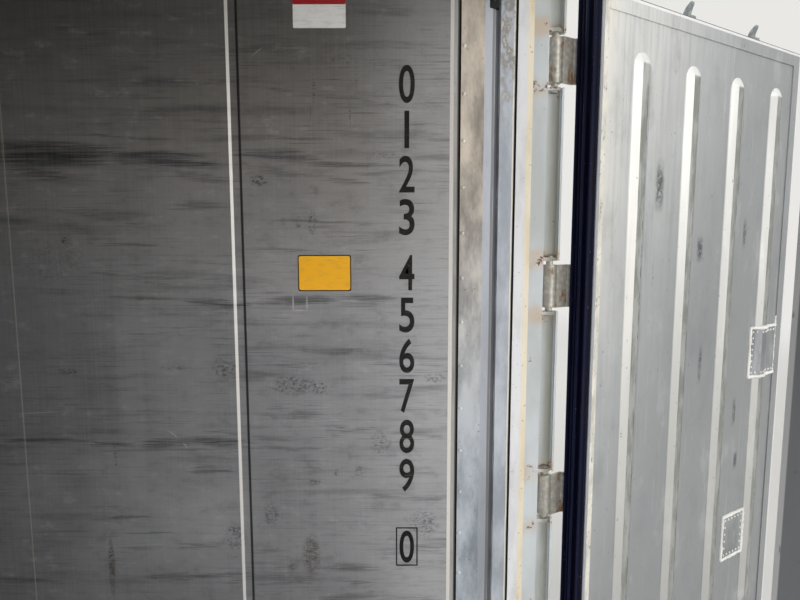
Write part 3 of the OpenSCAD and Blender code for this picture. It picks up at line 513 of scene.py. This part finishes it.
# Seal seat and sealant
# White plastic strips break the cold path at the door seal. A cream fillet of
# sealant, pricked with small holes, closes the joint to the painted post.
def weathered_plastic(name, clean, soiled, roughness, speck="#6d6250", specks=0.0):
    """Hazed plastic or sealant, more or less specked."""
    material, tree = finish(name, roughness=roughness)
    point = place(tree)
    haze = cloud(place(tree, (1, 1, 0.3)), 14, 5)
    colour = blend(step(haze, 0.42, 0.75, 0, 0.8), clean, soiled)
    holes = step(cloud(point, 130, 2, 0.5), 0.7, 0.74, 0, specks)
    colour = blend(holes, colour, speck)
    return coat(material, colour, haze, 0.001, 0.3)


seat_white = weathered_plastic("seal seat plastic", "#e6e6e8", "#c6c5c6", 0.45, specks=0.4)
cream_sealant = weathered_plastic("cream sealant", "#e6dcc6", "#cdbd9a", 0.6, "#7a5f3a", 0.9)
dress(seat_white, "seal_seats")
dress(cream_sealant, "sealant_beads")


# Rear posts
# Welded steel posts carry an open channel for the hinges. Their grey paint is
# chipped, and rust shows at the ends of the channel by every hinge.
def frame_paint(name, clean, soiled, rusted=(), rust_reach=0.03, shaded_channel=False, chipped=0.72):
    """Chipped paint on steel, with rust near the given heights, and perhaps painted shade inside the hinge
    channel.
    """
    material, tree = finish(name, roughness=0.48)
    point = place(tree)
    x, y, z = split(point)
    soft = cloud(place(tree, (1, 1, 0.5)), 6, 5)
    colour = blend(step(soft, 0.35, 0.7), clean, soiled)
    grain = cloud(point, 42, 6, 0.7)
    chips = step(grain, chipped, chipped + 0.04)
    if rusted:
        near = 0.0
        for height in rusted:
            near = most(near, band(z, height, rust_reach * 0.4, rust_reach))
        chips = most(chips, step(grain + near * 0.1, 0.66, 0.72))
        colour = blend(near * step(soft, 0.35, 0.6, 0, 0.5), colour, "#c9a679")
    if shaded_channel:
        # Painted shade, mottled, inside the hinge channel.
        inside = step(x, 2.976, 3.006) * step(x, 3.0225, 3.019)
        channel_shade = step(cloud(place(tree, (1, 1, 0.3)), 12, 5), 0.25, 0.6, 0.5, 0.9)
        colour = blend(inside * channel_shade, colour, "#85857a")
    rust = blend(cloud(point, 90, 4), "#4a2a17", "#8a5530")
    colour = blend(chips, colour, rust)
    return coat(material, colour, soft - chips * 0.5, 0.001, 0.5, step(chips, 0, 1, 0.46, 0.85))


hinge_low, hinge_pitch, window_half = 0.338, 0.644, 0.080
hinge_heights = [hinge_low + hinge_pitch * i for i in range(4)]
window_edges = [height + side * window_half for height in hinge_heights for side in (-1, 1)]
post_paint = frame_paint("rear post paint", "#cdd2d5", "#b9bdbb", window_edges, shaded_channel=True)
steel_paint = frame_paint("frame paint", "#cbcecf", "#b4b8b7")
dress(post_paint, "right_rear_post", "left_rear_post")
dress(
    steel_paint, "rear_header", "rear_sill", "front_posts", "front_header", "front_sill",
    "top_side_rails", "bottom_side_rails", "cross_members",
)
casting_paint = frame_paint("corner casting paint", "#bcbfbf", "#9a9d9b", chipped=0.60)
dress(casting_paint, "bottom_corner_castings", "top_rear_castings", "top_front_castings")


# Right door
# The leaf is an insulated panel with a ribbed inner lining. It is drawn shut
# and then swung about the hinge axis to where it stands open.
axis = Vector(frame["joints"][0]["pos_m"])
open_angle = math.radians(122)
to_axis = Matrix.Translation(axis)
swung = to_axis @ Matrix.Rotation(open_angle, 4, "Z") @ to_axis.inverted()
shut_left = Matrix.Diagonal((1, -1, 1, 1))
shut_point = Matrix.Rotation(-open_angle, 4, "Z") @ to_axis.inverted()
# Stretch, turn and shift into each leaf's own frame, where it hangs shut on the right-hand side
right_leaf = ((1, 1, 1), -open_angle, tuple(shut_point.translation))
left_leaf = ((1, -1, 1), 0, (-axis.x, -axis.y, 0))
leaf_inner = -0.100
rib_first, rib_pitch = 0.257, 0.258
rib_top = 2.311
rib_half, crest_half, rib_h = 0.042, 0.015, 0.014
# Each smudge: distance from the hinge axis, height, half width, half height
SMUDGES = (
    (0.367, 1.927, 0.022, 0.075), (0.810, 1.954, 0.012, 0.040), (0.877, 1.780, 0.012, 0.050),
    (0.602, 1.729, 0.018, 0.040), (1.050, 1.455, 0.014, 0.020), (0.640, 1.330, 0.010, 0.060),
    (0.880, 1.120, 0.012, 0.050), (0.910, 0.930, 0.012, 0.035),
)


def worn_panel(name, leaf):
    """Pale door lining, smudged and specked, with painted glare near the hinges and the top that falls off
    to painted shade downwards and away from them.
    """
    material, tree = finish(name, metallic=0.15, roughness=0.36)
    point = place(tree, *leaf)
    x, y, z = split(point)
    reach = y * -1
    haze = cloud(place(tree, (1, 1, 0.35)), 2.3, 4)
    runs = cloud(place(tree, (14, 14, 0.5)), 4, 5, 0.65)
    colour = blend(step(haze, 0.3, 0.7), "#d9d8d4", "#c9cbcb")
    # Painted glare and shade: paler near the hinges and the top, darker downwards and away from them.
    grey = step(reach * 0.9 + (2.45 - z) * 0.42, 0.08, 1.02, 0, 0.95)
    colour = blend(grey, colour, "#8e9193")
    colour = blend(step(runs, 0.46, 0.72, 0, 0.5), colour, "#979b9c")
    colour = blend(step(runs, 0.4, 0.25, 0, 0.3), colour, "#e9e8e3")
    patchy = cloud(place(tree, (1, 1, 0.5), shift=(1, 2, 0)), 9, 6, 0.65)
    colour = blend(step(patchy, 0.5, 0.72, 0, 0.4), colour, "#7f8385")
    colour = blend(step(patchy, 0.46, 0.28, 0, 0.3), colour, "#c9ccce")
    cream = step(reach, 0.2, 0.03) * step(z, 1.2, 2.3, 0, 0.6)
    colour = blend(cream, colour, "#efe9dc")
    across = from_nearest(reach, rib_first, rib_pitch)
    raised = step(x, leaf_inner - 0.0008, leaf_inner - 0.002)
    raised = raised * step(z, rib_top + 0.01, rib_top + 0.004)
    raised = raised * step(reach, 1.11, 1.1)
    worn = step(cloud(place(tree, (1, 1, 0.25)), 30, 5, 0.65), 0.38, 0.6)
    # Painted highlight on the flank of each rib that faces the doorway, weaker where the painted falloff
    # darkens the panel.
    lit = raised * step(across, -0.013, -0.016, 0, 0.8)
    colour = blend(lit * (1.0 - grey * 0.55), colour, "#f6f3eb")
    top = raised * band(across, 0, 0.0135, 0.002)
    colour = blend(top * 0.80, colour, "#a9aaa6")
    colour = blend(top * worn, colour, "#83857f")
    flecks = step(cloud(place(tree, (1, 1, 0.3), shift=(0, 1, 2)), 70, 5, 0.7), 0.45, 0.6, 0.15, 0.95)
    rubbed_edge = raised * band(across, 0.0145, 0.0015, 0.003)
    # Painted shade on the other flank of each rib.
    shaded = raised * step(across, 0.014, 0.017, 0, 0.75)
    colour = blend(shaded, colour, "#969ba1")
    colour = blend(rubbed_edge * flecks, colour, "#575a58")
    rim = raised * step(z, rib_top - 0.04, rib_top - 0.03, 0, 0.85)
    colour = blend(rim, colour, "#f4f4f2")
    # A painted highlight along the outer edge of the rim cover.
    rim_line = most(step(reach, 1.176, 1.178), step(z, 2.438, 2.44))
    cover_edge_highlight = rim_line * step(x, leaf_inner - 0.0036, leaf_inner - 0.004)
    colour = blend(cover_edge_highlight * 0.85, colour, "#efefee")
    broken = step(cloud(point, 55, 4, 0.7), 0.34, 0.56, 0.15, 0.95)
    for s, height, wide, high in SMUDGES:
        spot = band(y, -s, wide * 0.3, wide) * band(z, height, high * 0.3, high)
        colour = blend(spot * broken, colour, "#4b4e50")
    specks = step(cloud(place(tree, (1, 1, 0.5)), 75, 4, 0.65), 0.65, 0.72, 0, 0.6)
    colour = blend(specks, colour, "#636665")
    return coat(material, colour, haze + runs, 0.002, 0.2, step(runs, 0.3, 0.8, 0.3, 0.5))


right_panel = worn_panel("right door lining", right_leaf)
left_panel = worn_panel("left door lining", left_leaf)
dress(right_panel, "right_door_lining")
dress(left_panel, "left_door_lining")


def hang(name, build, material, smooth=False, left_material=None):
    """Makes a door piece twice: on the open right door and on the shut left one."""
    for side, turn, body in (("right", swung, "right_door"), ("left", shut_left, "container")):
        mesh = bmesh.new()
        build(mesh)
        bmesh.ops.transform(mesh, matrix=turn, verts=mesh.verts)
        finish_here = left_material if left_material and side == "left" else material
        new_piece(f"{side}_door_{name}", mesh, finish_here, body, smooth)


# Door gasket
# A dark rubber extrusion runs round the edge of the leaf. Its rounded lips lie
# side by side and press on the jamb when the door is shut.
leaf_edge_y, leaf_seam_y = 1.150, 0.008
leaf_bottom, leaf_top = 0.160, 2.454
frame_end = 3.029
gasket_front, gasket_back = frame_end - 0.059, frame_end - 0.127
gasket_root = 0.0135
flange_out = 0.0218
# Each lip: its start and end across the edge, from 0 to 1, and how far it stands out
LIPS = ((0.00, 0.14, 0.0135), (0.21, 0.33, 0.0085), (0.41, 0.66, 0.0155), (0.80, 1.00, 0.0140))


def frame_round_leaf(mesh, profile):
    """Runs a closed profile of (x, distance in from the leaf's edge) round the leaf."""
    middle_y, half_y = (leaf_edge_y + leaf_seam_y) / 2, (leaf_edge_y - leaf_seam_y) / 2
    middle_z, half_z = (leaf_top + leaf_bottom) / 2, (leaf_top - leaf_bottom) / 2

    def set_outline(verts, x, inward):
        for vert in verts:
            side_y = 1 if vert.co.y > middle_y else -1
            side_z = 1 if vert.co.z > middle_z else -1
            vert.co = (x, middle_y + side_y * (half_y - inward), middle_z + side_z * (half_z - inward))

    upright = Matrix.Translation((0, middle_y, middle_z)) @ Matrix.Rotation(math.pi / 2, 4, "Y")
    first = bmesh.ops.create_grid(mesh, x_segments=1, y_segments=1, size=0.5, matrix=upright)["verts"]
    bmesh.ops.delete(mesh, geom=list(mesh.faces), context="FACES_ONLY")
    set_outline(first, *profile[0])
    edges = first_edges = list(mesh.edges)
    for x, inward in profile[1:]:
        made = bmesh.ops.extrude_edge_only(mesh, edges=edges)["geom"]
        edges = [e for e in made if isinstance(e, bmesh.types.BMEdge)]
        set_outline([v for v in made if isinstance(v, bmesh.types.BMVert)], x, inward)
    bmesh.ops.bridge_loops(mesh, edges=edges + first_edges)


def build_gasket(mesh):
    """The gasket's lips and the flange behind them."""
    across = gasket_front - gasket_back
    steps = 8
    groove = gasket_root - 0.004
    profile = [(gasket_front, gasket_root), (gasket_front, groove)]
    for start, end, stand in LIPS:
        for part in range(steps + 1):
            along = part / steps
            swell = math.sin(math.pi * along) ** 0.5
            inward = groove + (gasket_root - 0.0005 - stand - groove) * swell
            profile.append((gasket_front - (start + along * (end - start)) * across, inward))
    flange_back, flange_front = gasket_back - 0.0004, gasket_back + 0.0040
    profile += [(flange_back, groove), (flange_back, flange_out)]
    profile += [(flange_front, flange_out), (flange_front, gasket_root)]
    frame_round_leaf(mesh, profile)


def rubber(name, leaf):
    """Dark blue rubber, dusty, with a faint shine along each lip."""
    material, tree = finish(name, roughness=0.6, gloss=0.12)
    point = place(tree)
    dust = cloud(place(tree, (1, 1, 0.3)), 24, 5)
    colour = blend(step(dust, 0.5, 0.85, 0, 0.4), "#06081a", "#1b2040")
    x, y, z = split(place(tree, *leaf))
    front, across = gasket_front - axis.x, gasket_front - gasket_back
    # A lighter band down the middle of each lip is a painted highlight.
    for start, end, stand in LIPS:
        middle, half = front - across * (start + end) / 2, across * (end - start) * 0.22
        colour = blend(band(x, middle, half, 0.003) * 0.45, colour, "#282d4c")
    specks = step(cloud(point, 160, 2), 0.72, 0.76, 0, 0.5)
    colour = blend(specks, colour, "#8b8a90")
    return coat(material, colour, dust, 0.0006, 0.3, step(dust, 0.3, 0.8, 0.5, 0.7))


gasket_rubber = rubber("navy gasket rubber", right_leaf)
left_rubber = rubber("left navy gasket rubber", left_leaf)
hang("gasket_lips", build_gasket, gasket_rubber, smooth=True, left_material=left_rubber)
for side in ("right", "left"):
    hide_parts(f"{side}_door_gasket")


# Door edge trims
# Two narrow frames cover the rim of the door lining: a grey strip next to the
# gasket and a cream one over the edge of the panel.
def frame_strip(mesh, x_low, inner, outer):
    """A flat strip round the leaf, with eased edges on its open face."""
    x_high, ease = gasket_back + 0.001, 0.0008
    frame_round_leaf(mesh, [
        (x_high, outer), (x_low + ease, outer), (x_low, outer + ease),
        (x_low, inner - ease), (x_low + ease, inner), (x_high, inner),
    ])


grey_strip = weathered_plastic("grey edge strip", "#9b9ea6", "#7f828a", 0.5, specks=0.2)


def edge_paint(name, leaf):
    """Cream by the hinges, and as grey as the panel elsewhere."""
    material, tree = finish(name, roughness=0.5)
    point = place(tree, *leaf)
    x, y, z = split(point)
    wear = cloud(place(tree, (1, 1, 0.3)), 30, 5, 0.65)
    colour = blend(step(wear, 0.35, 0.7), "#e6e2d6", "#bcb9af")
    away = step(y * -1, 0.1, 0.3, 0, 0.85)
    colour = blend(away, colour, "#a2a6a7")
    dark = step(cloud(place(tree, (1, 1, 0.7)), 90, 4, 0.7), 0.6, 0.68, 0, 0.7)
    colour = blend(dark, colour, "#4e4c48")
    return coat(material, colour, wear, 0.0008, 0.3)


cream_strip = edge_paint("cream edge strip", right_leaf)
left_cream_strip = edge_paint("left cream edge strip", left_leaf)
grey_face, grey_inner, grey_outer = gasket_back - 0.0032, 0.0317, 0.0222
cream_face, cream_inner, cream_outer = gasket_back - 0.0036, 0.0515, 0.0322


def build_grey_edge(mesh):
    frame_strip(mesh, grey_face, grey_inner, grey_outer)


def build_cream_edge(mesh):
    frame_strip(mesh, cream_face, cream_inner, cream_outer)


hang("grey_edge", build_grey_edge, grey_strip)
hang("cream_edge", build_cream_edge, cream_strip, left_material=left_cream_strip)


# Door rim covers
# A folded cover strip laps the rim of the lining along the top, the bottom and
# the free edge of each leaf. Only a thin line of the gasket shows outside it.
cover_outer, cover_inner = 0.0065, 0.0530
cover_start = 0.0535
cover_face = gasket_back - 0.0044


def build_cover(mesh):
    """A strip round the leaf, without its hinge side."""
    frame_strip(mesh, cover_face, cover_inner, cover_outer)
    cut = bmesh.ops.bisect_plane(
        mesh, geom=list(mesh.verts) + list(mesh.edges) + list(mesh.faces),
        plane_co=(0, leaf_edge_y - cover_start, 0), plane_no=(0, 1, 0), clear_outer=True,
    )["geom_cut"]
    bmesh.ops.holes_fill(mesh, edges=[e for e in cut if isinstance(e, bmesh.types.BMEdge)])


hang("rim_cover", build_cover, right_panel, left_material=left_panel)


# Door repair patches
# Two square patches of scuffed sheet are riveted over holes in the right door's
# lining. One is folded over a rib. A lumpy white bead of sealant seals each.
def panel_rise(s):
    """How far the lining stands up at a distance from the hinge axis."""
    across = abs((s - rib_first + rib_pitch / 2) % rib_pitch - rib_pitch / 2)
    on_rib = min(1, max(0, (rib_half - across) / (rib_half - crest_half)))
    return rib_h * on_rib if s < rib_first + 3.5 * rib_pitch else 0


def on_panel(s, z, proud):
    """A point that stands proud of the lining."""
    return Vector((lining_x - panel_rise(s) - proud, axis.y - s, z))


# Each patch: distances from the hinge axis, heights, rivets across and up, and if its far side has any
PATCHES = ((0.960, 1.140, 1.243, 1.430, 8, 8, False), (0.848, 0.988, 0.546, 0.717, 6, 6, True))
lining_x = axis.x + leaf_inner
plate_t, plate_inset = 0.0030, 0.002
bead_r, bead_path_step = 0.0062, 0.004
spill_up, spill_share = 0.035, 0.55
rim_gap = 0.016
patch_rivet_d, patch_rivet_rise = 0.0095, 0.0034
thumb = random.Random(5)


def add_plate(mesh, s0, s1, z0, z1):
    """A plate that follows the lining."""
    columns = 36
    made = bmesh.ops.create_grid(mesh, x_segments=columns, y_segments=1, size=0.5)["verts"]
    for vert in made:
        s = s0 + (vert.co.x + 0.5) * (s1 - s0)
        z = z0 + (vert.co.y + 0.5) * (z1 - z0)
        vert.co = on_panel(s, z, plate_t)
    faces = [f for f in mesh.faces if made[0] in f.verts or f.verts[0] in made]
    bmesh.ops.recalc_face_normals(mesh, faces=faces)
    if faces[0].normal.x > 0:
        bmesh.ops.reverse_faces(mesh, faces=faces)
    bmesh.ops.solidify(mesh, geom=faces, thickness=plate_t)


def add_curve(mesh, curve):
    """Adds the solid that a curve draws."""
    drawn = bpy.data.objects.new(curve.name, curve)
    bpy.context.collection.objects.link(drawn)
    bpy.context.view_layer.update()
    data = bpy.data.meshes.new_from_object(drawn.evaluated_get(bpy.context.evaluated_depsgraph_get()))
    mesh.from_mesh(data)
    bpy.data.objects.remove(drawn)
    bpy.data.meshes.remove(data)


def add_bead(mesh, corners, radius):
    """A hand-laid bead of sealant with an uneven thickness, closed where it ends as it starts."""
    path = []
    for (s0, z0), (s1, z1) in zip(corners, corners[1:]):
        count = max(2, round(math.hypot(s1 - s0, z1 - z0) / bead_path_step))
        path += [(s0 + (s1 - s0) * i / count, z0 + (z1 - z0) * i / count) for i in range(count)]
    closed = corners[0] == corners[-1]
    if not closed:
        path.append(corners[-1])
    curve = bpy.data.curves.new("bead", "CURVE")
    curve.dimensions = "3D"
    curve.bevel_depth = radius
    curve.bevel_resolution = 3
    curve.use_fill_caps = True
    spline = curve.splines.new("POLY")
    spline.points.add(len(path) - 1)
    spline.use_cyclic_u = closed
    lump = 1.0
    for point, (s, z) in zip(spline.points, path):
        lump += (1.0 - lump) * 0.3 + thumb.uniform(-0.16, 0.16)
        at = on_panel(s + thumb.uniform(-0.0006, 0.0006), z + thumb.uniform(-0.0006, 0.0006), 0.001)
        point.co = (*at, 1)
        point.radius = lump
    add_curve(mesh, curve)


def spread(low, high, count):
    """Evenly spaced places for rivets between two edges."""
    return [low + rim_gap + i * (high - low - 2 * rim_gap) / (count - 1) for i in range(count)]


patch_plates, patch_beads, patch_rivets = bmesh.new(), bmesh.new(), bmesh.new()
for s0, s1, z0, z1, across_count, up_count, far_side in PATCHES:
    add_plate(patch_plates, s0 + plate_inset, s1 - plate_inset, z0 + plate_inset, z1 - plate_inset)
    if far_side:
        add_bead(patch_beads, ((s0, z0), (s1, z0), (s1, z1), (s0, z1), (s0, z0)), bead_r)
    else:
        add_bead(patch_beads, ((s1, z0), (s0, z0), (s0, z1), (s1, z1)), bead_r)
        add_bead(patch_beads, ((s1, z1 + spill_up), (s1, z0)), bead_r * spill_share)
    columns, rows = spread(s0, s1, across_count), spread(z0, z1, up_count)
    places = [(s, z) for s in columns for z in (rows[0], rows[-1])]
    places += [(s, z) for z in rows[1:-1] for s in (columns[0], columns[-1])[: 1 + far_side]]
    for s, z in places:
        add_head(patch_rivets, on_panel(s, z, plate_t), (-1, 0, 0), patch_rivet_d, patch_rivet_rise, 8)
bright_rivet = weathered_plastic("bright rivet", "#e9e9e7", "#c3c4c5", 0.35, specks=0.2)
bead_white = weathered_plastic("white sealant", "#f6f5f1", "#dedad0", 0.5, "#8d8a84", 0.4)
for mesh, name, material, slot in (
    (patch_beads, "patch_sealant", bead_white, "seat"),
    (patch_plates, "patch_plates", patch_steel, "stainless"),
    (patch_rivets, "patch_rivets", bright_rivet, "stainless"),
):
    bmesh.ops.transform(mesh, matrix=swung, verts=mesh.verts)
    new_piece(f"right_door_{name}", mesh, material, "right_door", smooth=name != "patch_plates")


# Groove block
# A black plastic block closes the upper end of the groove in each jamb.
block_black = weathered_plastic("black block plastic", "#1b1b1d", "#2c2c2e", 0.5, "#6a6a6c", 0.3)
block_x0, block_x1 = 2.800, 2.835
block_y0, block_y1 = 1.1525, 1.1725
block_z0, block_z1 = 2.397, 2.440
block_screw_x, block_screw_z = (block_x0 + block_x1) / 2, 2.418


def add_block(mesh, low, high):
    """A block between two corners."""
    block = bmesh.ops.create_cube(mesh, size=1)["verts"]
    low, high = Vector(low), Vector(high)
    shape = Matrix.Translation((low + high) / 2) @ Matrix.Diagonal((*(high - low), 1))
    bmesh.ops.transform(mesh, matrix=shape, verts=block)


blocks = bmesh.new()
for side in (1, -1):
    near_y, far_y = sorted((side * block_y0, side * block_y1))
    add_block(blocks, (block_x0, near_y, block_z0), (block_x1, far_y, block_z1))
    add_head(blocks, (block_screw_x, side * block_y0, block_screw_z), (0, -side, 0), 0.012, 0.003)
long_edges = [e for e in blocks.edges if e.calc_length() > 0.015]
bmesh.ops.bevel(
    blocks, geom=long_edges, offset=0.0015, segments=2, profile=0.5, affect="EDGES", material=-1,
)
new_piece("groove_blocks", blocks, block_black)


# Outer skins
# Painted steel sheets with shallow pressed swages close the outside. They are
# riveted to the rails, and carry road dirt and a few rust spots.
def weathered_skin():
    """White paint with rain streaks, splashes near the ground and a few rust spots."""
    material, tree = finish("outer skin paint", roughness=0.4)
    point = place(tree)
    x, y, z = split(point)
    broad = cloud(place(tree, (1, 1, 0.4)), 1.1, 3)
    rain = cloud(place(tree, (11, 11, 0.35)), 2.4, 5, 0.65)
    colour = blend(step(broad, 0.3, 0.75), "#dbdddc", "#d0d3d2")
    colour = blend(step(rain, 0.48, 0.78, 0, 0.35), colour, "#aeb1ac")
    splash = z + (broad - 0.5) * 0.5
    colour = blend(step(splash, 0.6, 0.15, 0, 0.55), colour, "#8f8c84")
    scrape = step(cloud(place(tree, (1, 1, 14)), 3, 6, 0.7), 0.66, 0.7, 0, 0.6)
    colour = blend(scrape, colour, "#9b9d9c")
    run_down = step(cloud(place(tree, (30, 30, 1.2)), 1, 4, 0.6), 0.71, 0.76, 0, 0.35)
    colour = blend(run_down, colour, "#b58a62")
    colour = blend(step(cloud(point, 30, 6, 0.75), 0.745, 0.765), colour, "#6b3d22")
    return coat(material, colour, broad, 0.004, 0.3, step(rain, 0.3, 0.8, 0.34, 0.55))


skin_paint = weathered_skin()
dress(
    skin_paint, "right_wall_skin", "left_wall_skin", "front_wall_skin", "roof_skin",
    "right_door_skin", "left_door_skin",
)
skin_low, skin_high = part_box("right_wall_skin")
rivet_gap, first_rivet, rivet_lap = 0.11, 0.03, 0.02
skin_rivets = bmesh.new()
for i in range(int((skin_high[0] - skin_low[0] - 2 * first_rivet) / rivet_gap) + 1):
    x = skin_low[0] + first_rivet + i * rivet_gap
    for side in (1, -1):
        for z in (skin_low[2] + rivet_lap, skin_high[2] - rivet_lap):
            add_head(skin_rivets, (x, side * (skin_high[1] - 0.0002), z), (0, side, 0), rivet_d, 0.003, 7)
new_piece("skin_rivets", skin_rivets, skin_paint, smooth=True)


# Insulation
# Rigid foam fills the walls, floor, roof and doors. It shows only in narrow joints, where it has yellowed.
# In the two gaps beside the lining trim and the jamb it is painted black, as shade.
foam, foam_tree = finish("rigid foam", roughness=0.9)
foam_point = place(foam_tree)
foam_cells = cloud(foam_point, 130, 3)
foam_colour = blend(cloud(foam_point, 9, 5), "#dcc99a", "#b99c62")
foam_colour = blend(step(foam_cells, 0.62, 0.72, 0, 0.5), foam_colour, "#8a7242")
# Painted shade: black bands where the foam shows in the gaps beside the lining trim and the jamb.
for shaded_joint_x in (2.726, 2.882):
    foam_colour = blend(band(split(foam_point)[0], shaded_joint_x, 0.006, 0.003), foam_colour, "#191715")
coat(foam, foam_colour, foam_cells, 0.0008, 0.5)
dress(
    foam, "right_wall_core", "left_wall_core", "front_wall_core", "roof_core", "floor_core",
    "right_door_core", "left_door_core",
)


# Floor
# Extruded aluminium T-sections run the whole length, so that air can pass
# under the cargo. The heads are scratched bright by pallets.
def dragged_alloy():
    """Aluminium scratched lengthways by pallets, darker down between the heads."""
    material, tree = finish("floor aluminium", metallic=0.7, roughness=0.4)
    point = place(tree)
    x, y, z = split(point)
    drag = cloud(place(tree, (1.2, 60, 1)), 3, 5, 0.65)
    dirt = cloud(point, 3, 5)
    colour = blend(step(drag, 0.35, 0.7), "#8e8f90", "#c7c8c9")
    colour = blend(step(dirt, 0.45, 0.8, 0, 0.6), colour, "#5d5952")
    colour = blend(step(z, 0.222, 0.18, 0, 0.7), colour, "#3d3b37")
    return coat(material, colour, drag, 0.001, 0.3, step(dirt, 0.3, 0.8, 0.32, 0.6))


dress(dragged_alloy(), "floor_tees", "threshold")


# Hinges and lock gear
# Forged hinge blades, lock rods, cams, handles and keepers are hot-dip
# galvanised and have gone brown where the zinc has worn off.
def galvanised(name, pale, dark, rust, metallic=0.75):
    """Spangled zinc with brown wear and a few deep rust spots."""
    material, tree = finish(name, metallic=metallic, roughness=0.45)
    point = place(tree)
    spangle = add_node(tree, "TexVoronoi", {"Vector": point, "Scale": 70.0}, "Distance")
    wear = cloud(place(tree, (1, 1, 0.6)), 16, 6, 0.65)
    colour = blend(step(spangle, 0, 0.8), pale, dark)
    brown = step(wear, 0.6 - rust, 0.72 - rust)
    colour = blend(brown, colour, "#8a6a4c")
    deep = step(cloud(point, 60, 5, 0.7), 0.64, 0.7, 0, 0.8)
    colour = blend(deep * brown, colour, "#4b2d1a")
    return coat(material, colour, wear, 0.001, 0.4, step(brown, 0, 1, 0.42, 0.75))


hinge_zinc = galvanised("hinge zinc", "#c2beb4", "#a5a299", 0.08, 0.35)
gear_zinc = galvanised("lock gear zinc", "#aeb3b5", "#8e9496", 0.02)
dress(hinge_zinc, "hinge_pins", "right_door_hinges", "left_door_hinges")
dress(
    gear_zinc, "cam_keepers", "right_door_lock_rods", "left_door_lock_rods",
    "right_door_rod_brackets", "left_door_rod_brackets", "underfloor_sheet",
)
bolt_d, bolt_rise = 0.024, 0.008
BOLT_COLUMNS = (1.02, 1.10)
bolt_half_pitch = 0.042
blade_face = frame_end - 0.049


def build_hinge_bolts(mesh):
    for height in hinge_heights:
        for y in BOLT_COLUMNS:
            for z in (height - bolt_half_pitch, height + bolt_half_pitch):
                add_head(mesh, (blade_face, y, z), (1, 0, 0), bolt_d, bolt_rise, 10)


hang("hinge_bolts", build_hinge_bolts, gear_zinc, smooth=True)


# Marks and stickers
# Plain stickers and a counting column of black numerals stand on the lining
# by the door. They are cut from thin film and stuck to the steel.
def film(name, fresh, faded):
    """Printed film, faded and scratched."""
    material, tree = finish(name, roughness=0.4)
    wear = cloud(place(tree, (1, 1, 3)), 30, 5, 0.65)
    colour = blend(step(wear, 0.45, 0.8, 0, 0.7), fresh, faded)
    scratch = step(cloud(place(tree, (3, 1, 90)), 5, 4), 0.66, 0.72, 0, 0.6)
    colour = blend(scratch, colour, "#8f8b86")
    return coat(material, colour, wear, 0.0003, 0.3)


film_t = 0.0005


def sticker(name, x0, x1, z0, z1, material, layers=1, corner=0.003):
    """A flat piece of film with rounded corners, on the wall or on the film below it."""
    mesh = bmesh.new()
    thick = film_t * layers
    add_block(mesh, (x0, wall_y - thick, z0), (x1, wall_y, z1))
    upright = [e for e in mesh.edges if abs(e.verts[0].co.y - e.verts[1].co.y) > thick / 2]
    bmesh.ops.bevel(mesh, geom=upright, offset=corner, segments=3, profile=0.5, affect="EDGES", material=-1)
    new_piece(name, mesh, material)


black_film = film("black film", "#161514", "#35322f")
white_film = film("white film", "#ecebe8", "#c9c6c1")
red_film = film("red film", "#a8232b", "#8a3a3c")
yellow_film = film("yellow film", "#f0ae1c", "#cf9d3c")
sticker("white_sticker", 2.266, 2.411, 2.342, 2.439, white_film)
sticker("red_band", 2.266, 2.411, 2.404, 2.439, red_film, layers=2)
sticker("yellow_sticker_edge", 2.266, 2.419, 1.616, 1.720, black_film, corner=0.006)
sticker("yellow_sticker", 2.269, 2.416, 1.619, 1.717, yellow_film, layers=2, corner=0.005)

numeral_x = 2.579
numeral_h, numeral_w = 0.102, 0.044
one_share = 0.30
stroke_gain = 0.012
NUMERAL_TOPS = (2.244, 2.121, 1.998, 1.878, 1.720, 1.597, 1.477, 1.357, 1.234, 1.114, 0.889)
flat_on_wall = Matrix.Rotation(math.pi / 2, 4, "X")
column = bmesh.new()
for index, top in enumerate(NUMERAL_TOPS):
    curve = bpy.data.curves.new(f"numeral_{index}", "FONT")
    curve.body = str(index % 10)
    curve.align_x = "CENTER"
    curve.extrude = film_t
    curve.offset = stroke_gain
    before = len(column.verts)
    add_curve(column, curve)
    column.verts.ensure_lookup_table()
    verts = column.verts[before:]
    xs, ys = [v.co.x for v in verts], [v.co.y for v in verts]
    wide = numeral_w * (one_share if curve.body == "1" else 1)
    fit = Matrix.Diagonal((wide / (max(xs) - min(xs)), numeral_h / (max(ys) - min(ys)), 1, 1))
    centre = Matrix.Translation((-(max(xs) + min(xs)) / 2, -max(ys), 0))
    stand = Matrix.Translation((numeral_x, wall_y - film_t, top)) @ flat_on_wall
    bmesh.ops.transform(column, matrix=stand @ fit @ centre, verts=verts)
bmesh.ops.remove_doubles(column, verts=column.verts, dist=0.00001)
new_piece("numeral_column", column, black_film)

box_w, box_h, box_line = 0.066, 0.123, 0.004
box_z = 0.838
box_place = Matrix.Translation((numeral_x, wall_y - film_t / 2, box_z)) @ flat_on_wall
box = bmesh.new()
bmesh.ops.create_grid(
    box, x_segments=1, y_segments=1, size=0.5, matrix=box_place @ Matrix.Diagonal((box_w, box_h, 1, 1)),
)
rim = bmesh.ops.inset_region(
    box, faces=list(box.faces), thickness=box_line, use_even_offset=True, use_boundary=True,
)["faces"]
bmesh.ops.delete(box, geom=[f for f in box.faces if f not in rim], context="FACES")
bmesh.ops.solidify(box, geom=list(box.faces), thickness=film_t)
new_piece("numeral_box", box, black_film)
